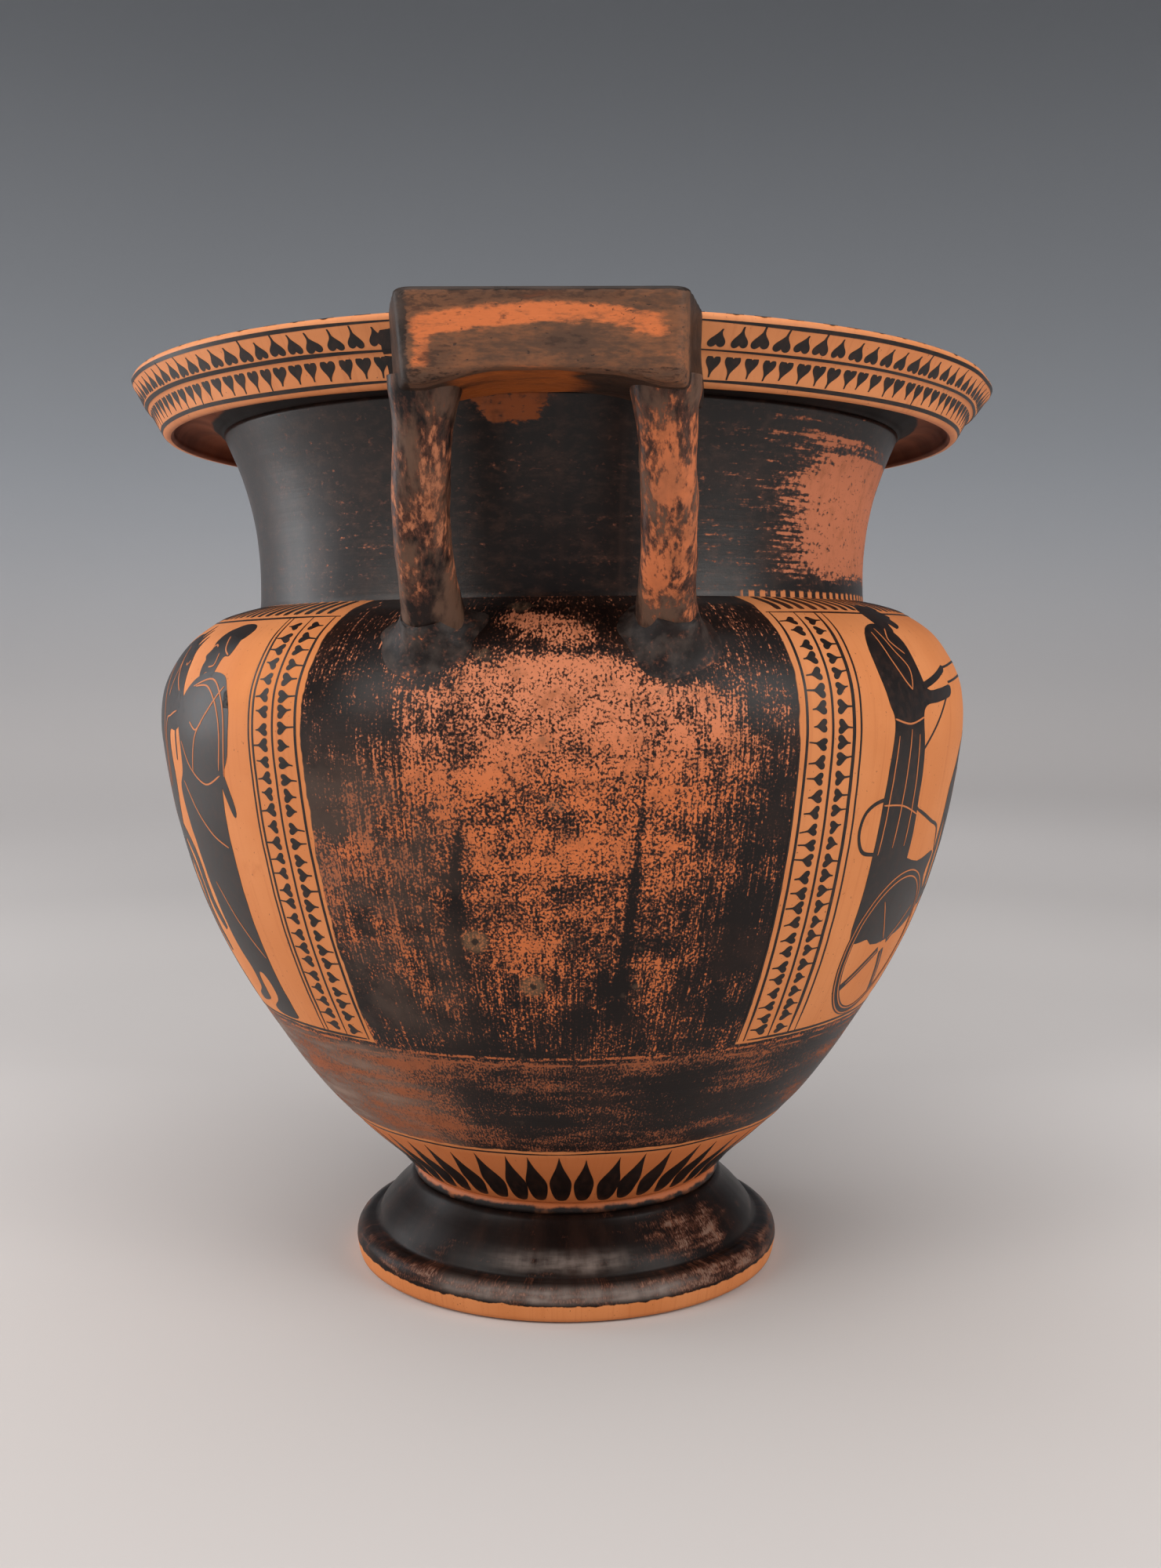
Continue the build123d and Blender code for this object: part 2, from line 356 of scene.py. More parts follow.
VERTICAL = (1, 1, 0.035)  # stretches that draw noise out into streaks
HORIZONTAL = (0.03, 0.03, 1)

CLAY = (0.60, 0.205, 0.066)
CLAY_PALE = (0.66, 0.245, 0.088)
CLAY_DEEP = (0.43, 0.120, 0.036)
CLAY_RED = (0.50, 0.125, 0.030)  # between the rays' feet
CLAY_UNDER = (0.34, 0.088, 0.020)  # under a plate
# Clay under the rim, darkened as painted shade
RIM_UNDER_SHADED_PALE = (0.25, 0.064, 0.017)
RIM_UNDER_SHADED_DEEP = (0.15, 0.036, 0.009)

# Clay that shows through worn slip
WORN = (0.60, 0.160, 0.050)
WORN_DULL = (0.30, 0.095, 0.038)
# Worn clay paler high on the bowl: painted sheen
WORN_WITH_PAINTED_SHEEN = (0.62, 0.21, 0.10)
WORN_NECK = (0.48, 0.152, 0.070)
# Worn clay of the neck, darkened as painted shade under a plate
WORN_NECK_SHADED = (0.33, 0.082, 0.018)
WORN_FOOT = (0.20, 0.118, 0.085)
WORN_PLATE = (0.62, 0.170, 0.058)
WORN_COLUMN_RIGHT = (0.54, 0.155, 0.058)
WORN_COLUMN_LEFT = (0.46, 0.165, 0.078)

BROWN = (0.105, 0.036, 0.020)
BLACK = (0.0070, 0.0038, 0.0032)
BLACK_WARM = (0.024, 0.0105, 0.0070)
JOINT_BROWN = (0.16, 0.055, 0.024)
PLATE_DEEP = (0.098, 0.054, 0.036)
PLATE_BROWN = (0.215, 0.090, 0.045)
PLATE_DARK = (0.045, 0.030, 0.024)
PLATE_BLACK = (0.016, 0.011, 0.009)
PLATE_BLACK_WARM = (0.050, 0.033, 0.026)
PLATE_UNDER = (0.022, 0.014, 0.011)

# Films over the slip, and painted sheen and a painted highlight
FILM_BOWL = (0.17, 0.10, 0.06)
FILM_RINGS = (0.13, 0.050, 0.028)
# Dust, partly painted sheen
DUST_AND_SHEEN = (0.25, 0.145, 0.10)
FILM_NECK = (0.10, 0.042, 0.026)
FILM_COLUMN = (0.14, 0.075, 0.048)
# Smoke on the bowl, partly painted sheen
SMOKE_AND_SHEEN_BOWL = (0.098, 0.062, 0.046)
SMOKE_NECK = (0.085, 0.038, 0.024)
SMOKE_ROOT = (0.075, 0.055, 0.046)
SMEAR_NECK = (0.08, 0.024, 0.008)
STAIN_RING = (0.21, 0.115, 0.058)
STAIN_DOT = (0.03, 0.018, 0.012)
# Painted highlight on the foot's dome and flange
PAINTED_HIGHLIGHT_FOOT = (0.30, 0.235, 0.205)


def clay_colour(s, seed=0):
    """Fired clay under a thin wash: soft clouds, faint brush streaks and dark specks."""
    colour = s.mix(s.noise(55, detail=4, seed=seed + 1).rise(0.32, 0.68), CLAY, CLAY_PALE)
    streak = s.noise(2.2, VERTICAL, detail=2, seed=seed + 2)
    colour = s.mix(streak.rise(0.5, 0.8) * 0.3, colour, CLAY_DEEP)
    stain = s.noise(16, detail=5, rough=0.65, seed=seed + 3)
    colour = s.mix(stain.rise(0.58, 0.82) * 0.55, colour, CLAY_DEEP)
    speck = s.noise(1.3, detail=2, seed=seed + 4)
    return s.mix(speck.rise(0.70, 0.75) * 0.7, colour, BROWN)


def black_colour(s, seed):
    """Black slip with warmer, thinner clouds."""
    cloud = s.noise(24, detail=5, rough=0.62, seed=seed + 5)
    return s.mix(cloud.rise(0.45, 0.78) * 0.8, BLACK, BLACK_WARM)


def worn_slip(s, margin, seed, clay=WORN):
    """Colour and coverage where slip has worn: black above a margin of 0, then brown, then clay."""
    dull = s.noise(9, detail=5, rough=0.7, seed=seed + 6)
    ground = s.mix(dull.rise(0.46, 0.74) * 0.8, clay, WORN_DULL)
    cover = margin.rise(-0.06, 0.08)
    colour = s.mix(margin.rise(-0.55, -0.02) * 0.85, ground, BROWN)
    slip = s.mix(margin.rise(0.75, 0.05) * 0.6, black_colour(s, seed), BROWN)
    return s.mix(cover, colour, slip), cover


def slip_height(s, cover, seed):
    """Relief in millimetres: the slip's own thickness, brush lines and fine grain."""
    brush = s.noise(1.6, HORIZONTAL, detail=2, seed=seed + 8)
    grain = s.noise(0.9, seed=seed + 9)
    return cover * 0.03 + brush * 0.05 + grain * 0.035


# How worn the slip is round a handle, 1 being worn off and below 0 thick and sound: for some turns
# from the handle's middle, (arc on the bowl, wear) from the rays up. There is none at the neck.
LIGHT_WEAR = [(44, 0.2), (97, 0.3), (106, 0)]
BOWL_WEAR = [
    (-75, LIGHT_WEAR),
    (-48, [(44, 0.55), (97, 0.5), (106, 0)]),
    (-31, [(44, 0.75), (84, 0.72), (97, 0.55), (105, -0.3), (132, -0.2), (142, 0.1), (153, 0.5),
           (184, 0.66), (193, -0.1)]),
    (-23, [(44, 0.6), (55, 0.5), (68, 0.7), (78, 0.5), (88, 0.25), (95, 0.62), (104, -0.3),
           (124, -0.25), (132, 0.25), (139, 0.6), (155, 0.45), (180, 0.66), (192, 0.72),
           (207, 0.52), (219, 0.36), (227, -0.15)]),
    (-14, [(44, 0.1), (68, 0.3), (84, 0), (95, 0.65), (104, -0.3), (115, -0.2), (123, 0.32),
           (135, 0.54), (150, 0.35), (168, 0.46), (186, 0.66), (206, 0.78), (236, 0.86),
           (243, 0.66), (250, 0.05)]),
    (-5, [(44, -0.15), (80, -0.05), (90, 0.42), (97, 0.4), (104, -0.3), (111, -0.2), (119, 0.3),
          (135, 0.6), (155, 0.86), (180, 0.84), (200, 0.66), (214, 0.78), (232, 0.74),
          (246, 0.92), (254, 0.3), (262, 0)]),
    (7, [(44, -0.25), (96, -0.05), (104, -0.2), (120, -0.08), (130, 0.15), (142, 0.5),
         (165, 0.58), (185, 0.86), (214, 0.9), (246, 0.96), (254, 0.4), (262, 0)]),
    (14, [(44, -0.25), (78, -0.2), (90, 0.25), (97, 0.55), (104, 0.08), (125, 0.32), (140, 0.50),
          (155, 0.45), (170, 0.66), (190, 0.76), (232, 0.90), (241, 0.7), (249, 0.08)]),
    (20, [(44, -0.3), (80, -0.2), (92, 0.25), (104, 0), (120, 0), (145, 0.12), (165, 0.28),
          (185, 0.46), (205, 0.62), (230, 0.78), (239, 0.55), (246, 0)]),
    (26, [(44, -0.3), (90, 0.05), (97, 0.15), (104, -0.1), (170, 0), (195, 0.12), (210, 0.28),
          (232, 0.42), (241, 0.3), (247, 0)]),
    (30, [(44, -0.3), (97, 0.1), (104, -0.1), (190, 0), (222, 0.14), (236, 0)]),
    (75, LIGHT_WEAR),
]

# Black runs down the worn area: (turn at arc 0, turn gained with arc, half width at arc 0, half
# width lost with arc, where the edge fades, (lowest arc, highest arc, softness), strength)
DRIPS = [
    (-17.9, 0.034, 2.62, 0.010, 1.2, (138, 196, 8), 0.8),
    (6.2, 0.02, 3.018, 0.012, 0.9, (122, 206, 14), 0.9),
]
STAINS = ((-10.2, 152.5), (-3, 134.5))  # round stains: (turn from a handle's middle, arc)
RAYS_TOP = 45  # arc where the black slip over the rays begins

# Turn of the left edge of the neck's worn patch, for some arcs on the neck
NECK_PATCH = [(0, 52), (8, 48), (20, 44), (32, 43), (42, 44), (52, 45), (60, 47), (72, 60)]


def bowl_wear(h, arc):
    """Blends the curves of BOWL_WEAR from one turn to the next."""
    total = 0
    for i, (turn, points) in enumerate(BOWL_WEAR):
        share = 1
        if i > 0:
            share = h.rise(BOWL_WEAR[i - 1][0], turn) * share
        if i + 1 < len(BOWL_WEAR):
            share = h.rise(BOWL_WEAR[i + 1][0], turn) * share
        total = arc.curve(points + [(NECK_ARC, 0)]) * share + total
    return total


def bowl_drips(s, h, arc, wobble):
    """Black that is left on the front as runs and on the back at random."""
    runs = []
    for turn, slant, wide, taper, edge, span, strength in DRIPS:
        away = abs(h - (arc * slant + turn) + wobble * 1.5) / (wide - arc * taper)
        runs.append(away.rise(edge, 0.3) * arc.between(*span) * strength)
    back = s.y.rise(-30, 30)
    return runs[0].most(runs[1]) * (1 - back) + back * (s.grain(40, seed=33) * 5 + 0.25)


def bowl_material():
    s = Surface("bowl_paint")
    arc, h = s.arc(), s.handle_turn
    wobble = s.grain(14, seed=20)
    fray = s.grain(1.4, seed=21)

    # Where the painter laid black slip
    below = (arc + wobble * 2).rise(102.6, 102.1)
    zone = (abs(h + 0.6) + wobble * 1.2).rise(30.4, 30.2).most(below)
    black = zone * (arc + wobble * 3).rise(RAYS_TOP, RAYS_TOP + 0.6)

    # Where hands and time wore it away
    drift = s.grain(26, seed=28) * 14
    wear = bowl_wear(h + drift * 0.35, arc + drift)
    patch = ((h + 1) * 2.9).squared() / 330 + (arc + h * 0.9 - ROOT_ARC).squared() / 70
    wear = wear.most((patch + fray * 2).rise(1.7, 0.1) * 0.8)

    speck = s.grain(0.9, detail=2, rough=0.5, seed=22)
    blotch = s.grain(12, detail=4, rough=0.6, seed=23)
    bands = s.grain(6, (0.12, 0.12, 1), seed=25)
    streak = s.grain(0.8, VERTICAL, detail=2, seed=26)
    scratch = s.grain(0.8, (1, 1, 0.1), detail=2, seed=29)
    edges = (h.rise(-8, -19) + h.rise(11, 19)).most(arc.rise(158, 130))
    edges = edges * arc.rise(99, 106)
    rings = arc.rise(103, 97)
    dull = arc.between(118, 250, 12) * 0.13
    margin = (0.5 - wear + dull) * 1.75 + speck * 5.2 + bowl_drips(s, h, arc, wobble)
    margin = margin + blotch * (2.9 - rings * 2.2) + bands * (1.7 + rings * 3.2)
    margin = margin + streak * (0.5 + edges * 2.6) + scratch * (1.2 + edges)

    # Two thin reserved lines that run round below the panels
    line = arc + wobble * 1.2
    gap = line.between(99.6, 100.8, 0.2).most(line.between(96.5, 97.3, 0.15))
    margin = margin - gap * (0.9 + blotch * 9 + fray * 4)

    # Films, dust, smoke, painted sheen and stains over what is left
    # High on the bowl the worn clay is paler: painted sheen
    painted, cover = worn_slip(s, margin, 30, s.mix(arc.rise(200, 240), WORN, WORN_WITH_PAINTED_SHEEN))
    film = s.noise(9, (0.7, 0.7, 1), seed=31).rise(0.64, 0.76) * abs(h).rise(22, 10)
    painted = s.mix(film * 0.5, painted, FILM_BOWL)
    painted = s.mix(rings * 0.6 * margin.rise(0.3, -0.3), painted, FILM_RINGS)
    # Dust and painted sheen: lighter grey-brown low down to the left of each handle
    dust_and_sheen = rings * h.rise(-14, -34) * h.rise(-78, -60)
    painted = s.mix(dust_and_sheen * (0.35 + bands * 3), painted, DUST_AND_SHEEN)
    # Smoke and painted sheen: a grey-brown haze over the black to the left of each handle
    smoke = s.noise(17, (0.7, 0.7, 1), detail=4, rough=0.6, seed=32).rise(0.3, 0.62)
    smoke = smoke * h.rise(-7, -20) * h.rise(-60, -40) * arc.between(112, 218, 12)
    painted = s.mix(smoke * 0.55, painted, SMOKE_AND_SHEEN_BOWL)
    for turn, place in STAINS:
        away = ((h - turn) * 2.6).squared() + (arc - place).squared()
        away = away.math("SQRT") + fray * 2.5
        painted = s.mix(away.rise(5.5, 3) * 0.55, painted, STAIN_RING)
        painted = s.mix(away.rise(1.5, 0.9), painted, STAIN_DOT)

    cover = cover * black
    clay = s.mix(arc.rise(RAYS_TOP, 38) * 0.6, clay_colour(s, 40), CLAY_RED)
    rough = 0.60 - cover * 0.27 + s.noise(30, seed=27) * 0.12
    sheen = 0.2 - arc.between(232, 275, 9) * h.between(-46, -24, 5) * 0.15
    return s.finish(s.mix(black, clay, painted), rough, slip_height(s, cover, 50), sheen)


def neck_material():
    s = Surface("neck_paint")
    arc, t, h = s.arc(), s.turn, s.handle_turn
    fray = s.grain(1.4, (0.5, 0.5, 1), detail=2, seed=60)
    blotch = s.grain(13, detail=4, seed=61)
    bands = s.grain(3.2, HORIZONTAL, seed=62)
    lines = s.grain(1.3, (0.05, 0.05, 1), detail=2, seed=66)
    scratch = s.grain(1, (0.12, 0.12, 1), detail=2, seed=63)

    # A worn patch on the right, with a feathered edge, and a brown smear under the rim, where painted
    # shade darkens the clay under the plate
    inward = t - arc.curve(NECK_PATCH)
    near = t.rise(88, 76)
    patch = inward.rise(-12, 9) * near * (arc + bands * 26).between(9, 61, 5)
    feather = inward.between(-20, 4, 7) * near
    under = abs(t + 6.2 + blotch * 4) / (4.2 + (arc - 64) * 0.3)
    under = under.rise(1.25, 0.7) * (arc + blotch * 8 + bands * 4).rise(60.5, 63.5)
    nicks = abs(h + 34).rise(12, 2).most(abs(h - 23).rise(6, 1))
    nicks = nicks * arc.between(6, 36, 8)

    wear = (patch * 1.3).most(under * 1.2) - 0.22
    margin = (0.5 - wear) * 1.7 + fray * 4.4 + blotch * 1.2 + bands * 1.6
    margin = margin + scratch * (0.8 + nicks * 3) - nicks * 0.15
    margin = margin + feather * (lines * 5 + bands * 1.6 - 0.1)
    # Painted shade: worn clay darker at the top of the neck under the front plate
    smear_and_shade = arc.rise(58, 61) * abs(t).rise(24, 20)
    colour, cover = worn_slip(s, margin, 70, s.mix(smear_and_shade, WORN_NECK, WORN_NECK_SHADED))
    smear_and_shade = under * (blotch * 3 + bands * 2).rise(-0.2, 0.5)
    colour = s.mix(smear_and_shade * 0.75, colour, SMEAR_NECK)
    haze = s.noise(20, VERTICAL, seed=64)
    film = haze.rise(0.5, 0.72) * abs(h).rise(20, 5) * cover
    colour = s.mix(film * 0.6, colour, FILM_NECK)
    smoke = s.noise(3.5, (0.4, 0.4, 1), detail=5, rough=0.7, seed=65).rise(0.45, 0.75) * cover
    colour = s.mix(smoke * 0.4, colour, SMOKE_NECK)

    # The tongues' upper ends run on over the joint
    tooth = (t * (math.radians(360) / TONGUE_PITCH)).math("COSINE").rise(-0.15, 0.15)
    reserve = (arc + fray * 1.2 + s.x.rise(20, -20) * 2.6).rise(4.1, 3.3)
    reserve = reserve * abs(h).rise(31, 32) * tooth
    colour = s.mix(reserve, colour, CLAY)
    rough = 0.58 - cover * (1 - reserve) * 0.26 + haze * 0.12
    return s.finish(colour, rough, slip_height(s, cover, 80), 0.3)


def foot_material():
    s = Surface("foot_paint")
    h = s.handle_turn
    wobble = s.grain(9, seed=90)
    speck = s.grain(1.1, seed=91)
    bands = s.grain(2.2, (0.08, 0.08, 1), seed=92)
    blotch = s.grain(15, detail=4, seed=93)
    black = (s.z + wobble * 2.6).rise(7, 7.5)
    # Wear on the right of the dome and flange, paler, and there also a painted highlight
    rubbed = abs(h - 44).rise(24, 8)
    flange = s.z.between(8, 14.5, 1.5) * (0.44 + rubbed * 0.12)
    dome = s.z.between(17, 31, 3) * rubbed * 0.5
    margin = 1.3 - flange.most(dome) * 2.1 + speck * 3 + blotch * 2 + bands * 2.8
    painted, cover = worn_slip(s, margin, 94, WORN_FOOT)
    # Painted highlight: a grey streak on the dome's lower slope and a paler band along the flange
    painted_highlight = s.z.between(18, 22, 3.5) * (h - 1).between(-18, 18, 9)
    painted_highlight = painted_highlight.most(s.z.between(8.5, 13.5, 1.5) * (h - 4).between(-34, 30, 10) * 0.8)
    painted_highlight = painted_highlight * (0.62 + blotch * 2.2 + bands * 1.6)
    painted = s.mix(painted_highlight * 0.75, painted, PAINTED_HIGHLIGHT_FOOT)
    colour = s.mix(black, clay_colour(s, 100), painted)
    cover = cover * black
    rough = 0.62 - cover * 0.27 + blotch * 0.16
    return s.finish(colour, rough, slip_height(s, cover, 110), 0.11)


def collar_material():
    s = Surface("collar_paint")
    blotch = s.noise(8, (0.4, 0.4, 1), detail=4, seed=120)
    dark = s.mix(blotch.rise(0.5, 0.75), BLACK, JOINT_BROWN)
    colour = s.mix((s.z + (blotch - 0.5) * 5).rise(37.2, 38.6), dark, CLAY_DEEP)
    return s.finish(colour, 0.42 + blotch * 0.2, s.noise(1.2, seed=121) * 0.12)


def rim_material():
    s = Surface("rim_clay")
    pit = s.noise(1.1, seed=131)
    edge = s.z.rise(366.5, 369.5)
    colour = s.mix(edge * pit.rise(0.4, 0.7) * 0.5, clay_colour(s, 130), CLAY_PALE)
    rough = 0.50 + s.noise(18, seed=132) * 0.16
    return s.finish(colour, rough, pit * 0.06 + s.noise(1.4, HORIZONTAL, seed=133) * 0.05)


def rim_under_material():
    """Clay darkened to brown as painted shade under the rim's overhang. The neck's black slip runs on to
    it, but not by the front left column.
    """
    s = Surface("rim_underside")
    blotch = s.noise(26, detail=4, seed=140)
    colour = s.mix(blotch.rise(0.35, 0.7), RIM_UNDER_SHADED_PALE, RIM_UNDER_SHADED_DEEP)
    flare = (s.radius + (blotch - 0.5) * 3).rise(148.6, 147.2)
    flare = flare * (1 - s.turn.between(-18, 3, 1.5))
    colour = s.mix(flare, colour, black_colour(s, 142))
    return s.finish(colour, 0.5 + blotch * 0.2, s.noise(1.6, HORIZONTAL, seed=141) * 0.08, 0.08)


def inside_material():
    s = Surface("inside_slip")
    fray = s.grain(2, seed=150)
    rings = s.grain(3.5, HORIZONTAL, seed=151)
    blotch = s.grain(30, detail=4, seed=152)
    colour, cover = worn_slip(s, 0.8 + fray * 1.4 + rings * 2 + blotch * 1.8, 153)
    return s.finish(colour, 0.52 - cover * 0.12 + blotch * 0.15, rings * 0.12 + fray * 0.04)


def plate_material():
    """Slip rubbed thin and brown, to clay along an arched band, and left dark at the edges."""
    s = Surface("plate_paint")
    wave = s.grain(34, seed=160, solid=True)
    fray = s.grain(1.4, (0.35, 1, 1), rough=0.65, seed=161, solid=True)
    rub = s.grain(5, (0.14, 0.5, 1), detail=5, rough=0.6, seed=162, solid=True)
    film = s.grain(13, (0.3, 1, 1), detail=5, rough=0.6, seed=163, solid=True)
    pit = s.noise(1.5, (0.7, 1, 1), detail=2, seed=167, solid=True).rise(0.66, 0.74)
    x, z = s.x + wave * 6, s.z + wave * 3
    arch = z + x * x * 0.0024
    colour = s.mix((film * 3.2 + fray * 2 + 0.5).rise(0, 1), PLATE_DEEP, PLATE_BROWN)

    band = (arch + rub * 5).between(358.4, 364.6, 1.3) * x.between(-41, 36, 3.5)
    strip = x.between(-40.5, -35.5, 1.2) * z.between(346, 360.5, 1.5)
    bare = band.most(strip * 0.85) * 0.78 + rub * 1.8 + fray * 1.6 + film * 1.8
    colour = s.mix(bare.rise(0.25, 1) * 0.95, colour, WORN_PLATE)

    top = (arch + rub * 4).rise(364, 366.5) * x.rise(30, 16) * 0.5
    smudge = ((x - 5) * 0.12).squared() + ((z - 353) * 0.30).squared()
    corner = ((x + 33) * 0.17).squared() + ((z - 349) * 0.28).squared()
    dark = top.most(smudge.least(corner).rise(1.8, 0.2) * 0.55)
    dark = dark + rub * 0.8 + fray * 2.2 + film * 0.9
    colour = s.mix(dark.most(pit * 0.8).rise(0.25, 0.75) * 0.8, colour, PLATE_DARK)

    edge = s.z.rise(366.9, 368.6).most(abs(s.x).rise(40.6, 44)).most(s.z.rise(346.5, 345) * 0.5)
    cover = (edge + fray * 1.6 + rub * 0.8).rise(0.4, 0.8)
    black = s.mix(film.rise(-0.1, 0.15), PLATE_BLACK, PLATE_BLACK_WARM)
    colour = s.mix(cover * 0.95, colour, black)

    below = s.radius.rise(200, 198) * s.z.rise(356, 352)
    colour = s.mix(below * 0.8, colour, PLATE_UNDER)
    below = below * (x + film * 24).between(-31, 9, 4)
    colour = s.mix(below * (0.85 + film * 2.2 + fray * 1.2), colour, CLAY_UNDER)

    height = s.noise(1.2, (0.2, 1, 1), seed=164, solid=True) * 0.12 + cover * 0.03
    height = height + s.noise(6, detail=2, seed=166, solid=True) * 0.3 - pit * 0.1
    return s.finish(colour, 0.56 - cover * 0.10 + film * 0.3, height, 0.12)


def column_material():
    s = Surface("column_paint")
    fray = s.grain(1.7, (1, 1, 0.4), detail=4, rough=0.65, seed=180, solid=True)
    rub = s.grain(9, (1, 1, 0.35), seed=181, solid=True)
    cloud = s.grain(24, seed=182, solid=True)
    face = s.radius.rise(148, 182)
    ends = s.z.rise(331, 343).most(s.z.rise(286, 273) * 0.9)
    left = s.x.rise(1, -1)
    margin = fray * 3.2 + rub * 2.6 + cloud * 2.6 - face * 0.2 + ends * 0.45 + left * 0.42
    clay = s.mix(left, WORN_COLUMN_RIGHT, WORN_COLUMN_LEFT)
    colour, cover = worn_slip(s, margin, 190, clay)
    film = s.noise(9, (1, 1, 0.4), detail=5, rough=0.6, seed=183, solid=True)
    colour = s.mix(film.rise(0.42, 0.62) * (0.25 + cover * 0.5), colour, FILM_COLUMN)
    rough = 0.55 - cover * 0.20 + film * 0.1
    height = s.noise(1.3, (1, 1, 0.25), seed=184, solid=True) * 0.10
    return s.finish(colour, rough, height + cover * 0.04, 0.2)


def root_material():
    s = Surface("root_paint")
    fray = s.grain(1.3, seed=200)
    cloud = s.grain(9, seed=201, solid=True)
    edge = s.arc().rise(0.4, 1) * s.z.rise(265, 256)
    colour, cover = worn_slip(s, 0.85 + fray * 3.6 + cloud * 2.4 - edge * 0.6, 202)
    smoke = s.noise(7, detail=4, seed=203, solid=True).rise(0.4, 0.65)
    colour = s.mix(smoke * 0.5 * cover, colour, SMOKE_ROOT)
    return s.finish(colour, 0.56 + cloud * 0.2, fray * 0.08, 0.25)


def slip_material():
    """Painted slip of the ornament: black, and brown where the brush ran thin."""
    s = Surface("painted_slip")
    thin = s.noise(3.5, detail=4, rough=0.65, seed=210)
    colour = s.mix(thin.rise(0.66, 0.82), s.mix(thin.rise(0.4, 0.7), BLACK, BLACK_WARM), BROWN)
    return s.finish(colour, 0.34 + thin * 0.12, None, 0.28)


def incised_material():
    """Clay that a point has laid bare through the slip."""
    s = Surface("incised_line")
    tone = s.noise(4, detail=2, seed=220)
    return s.finish(s.mix(tone, CLAY_DEEP, CLAY), 0.6 + tone * 0.1)


# ---- Meshes

def add_object(name, data):
    """A new object in the scene."""
    made = bpy.data.objects.new(name, data)
    bpy.context.scene.collection.objects.link(made)
    return made


def band(low, high, around):
    """Quads between two rings of vertices, given by the number of each ring's first vertex."""
    return [(low + k, low + (k + 1) % around, high + (k + 1) % around, high + k) for k in range(around)]


def piece(name, verts, faces, materials, face_slots=None, arcs=None):
    """A smooth mesh object that rides on the one body."""
    mesh = bpy.data.meshes.new(name)
    mesh.from_pydata(verts, [], faces)
    for material in materials:
        mesh.materials.append(material)
    mesh.polygons.foreach_set("use_smooth", [True] * len(faces))
    if face_slots:
        mesh.polygons.foreach_set("material_index", face_slots)
    if arcs:
        mesh.attributes.new("arc", "FLOAT", "POINT").data.foreach_set("value", arcs)
    mesh.validate()
    mesh.update()
    made = add_object(name, mesh)
    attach(made, "root")
    return made


def turned(name, parts, materials, slot, *nodes):
    """A closed turned piece. Its parts, (wall or section, material), go once round its section."""
    rings = []
    for line, material in parts:
        if isinstance(line, Wall):
            new = [(line, arc, material) for arc in line.rows()]
        else:
            fine = smooth(line, 5 if len(line) > 5 else 1)
            new = [(None, (max(r, 0), z), material) for r, z in fine]
        rings += new[1:] if rings else new
    rings.pop()
    verts, arcs, firsts, counts = [], [], [], []
    for wall, spot, _ in rings:
        on_axis = wall is None and spot[0] < 0.01
        firsts.append(len(verts))
        counts.append(1 if on_axis else SEGMENTS)
        for i in range(counts[-1]):
            turn = 360 * i / SEGMENTS
            verts.append(wall.place(turn, spot) if wall else polar(turn, *spot))
            arcs.append(spot if wall else NO_ARC)
    faces, slots = [], []
    for i, (_, _, material) in enumerate(rings):
        j = (i + 1) % len(rings)
        a, b = firsts[i], firsts[j]
        if counts[i] == counts[j] == 1:
            continue
        if counts[i] == 1:
            new = [(a, b + (k + 1) % SEGMENTS, b + k) for k in range(SEGMENTS)]
        elif counts[j] == 1:
            new = [(a + k, a + (k + 1) % SEGMENTS, b) for k in range(SEGMENTS)]
        else:
            new = band(a, b, SEGMENTS)
        faces += new
        slots += [material] * SEGMENTS
    made = piece(name, verts, faces, materials, slots, arcs)
    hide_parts(*nodes)


inside = inside_material()
under = rim_under_material()
rim_clay = rim_material()
turned("painted_foot", [(foot_wall, 0), (FOOT_UNDER, 0)], [foot_material()], "foot_slip", "foot")
turned("painted_collar", [(collar_wall, 0), (COLLAR_INSIDE, 0)],
       [collar_material()], "collar_clay", "foot_collar")
turned("painted_bowl", [(bowl_wall, 0), (BOWL_INSIDE, 1), (BOWL_UNDER, 1)],
       [bowl_material(), inside], "black_slip", "bowl")
turned("painted_neck", [(neck_wall, 0), (NECK_INSIDE, 1)], [neck_material(), inside], "neck_slip", "neck")
turned("painted_rim", [(rim_wall, 0), (rim_top_wall, 0), (RIM_INSIDE, 1), (RIM_UNDER, 2)],
       [rim_clay, inside, under], "rim_clay", "rim")


# ---- Handles

# One column from inside the shoulder to inside the plate:
# (sideways, outwards, height, half width, half depth)
COLUMN = [
    (39.6, 146, 266.6, 12.4, 11.6), (39.5, 149.6, 271.4, 11.2, 10.6), (39.2, 155, 279, 9.9, 9.6),
    (38.8, 164.6, 294, 9.3, 9), (38.4, 173, 313, 9.1, 8.8), (38.1, 178, 330, 9.5, 9),
    (37.9, 179.6, 337.5, 10.3, 9.8), (37.9, 180.4, 343, 11.6, 11), (37.9, 180.6, 347, 12, 11.6),
]
COLUMN_BASE_Z = 268  # the column's sideways bow starts and ends at these heights
COLUMN_TOP_Z = 345
COLUMN_SIDES = 56
BLUNTNESS = 2.6  # power that squares a column's section; 2 is round
ROOT_SIDES = 72
ROOT_RINGS = 16
ROOT_INNER = 8  # the smeared clay starts here, inside the column
ROOT_REACH = 20.5  # and spreads about as far as this
ROOT_HEIGHT = 9.5  # its height at the column
ROOT_DEPTH = 1.4  # how far it goes into the shoulder
PLATE_GRAIN = 1.15  # size of the facets that a plate is remade from
PLATE_SOFTENING = (0.5, 7)  # strength and number of the passes that round its edges


def turned_to(end, x, y, z):
    """A point of the front handle, or its place on the back handle."""
    return by_hand(x, y, z) if end == "front" else by_hand(-x, -y, z)


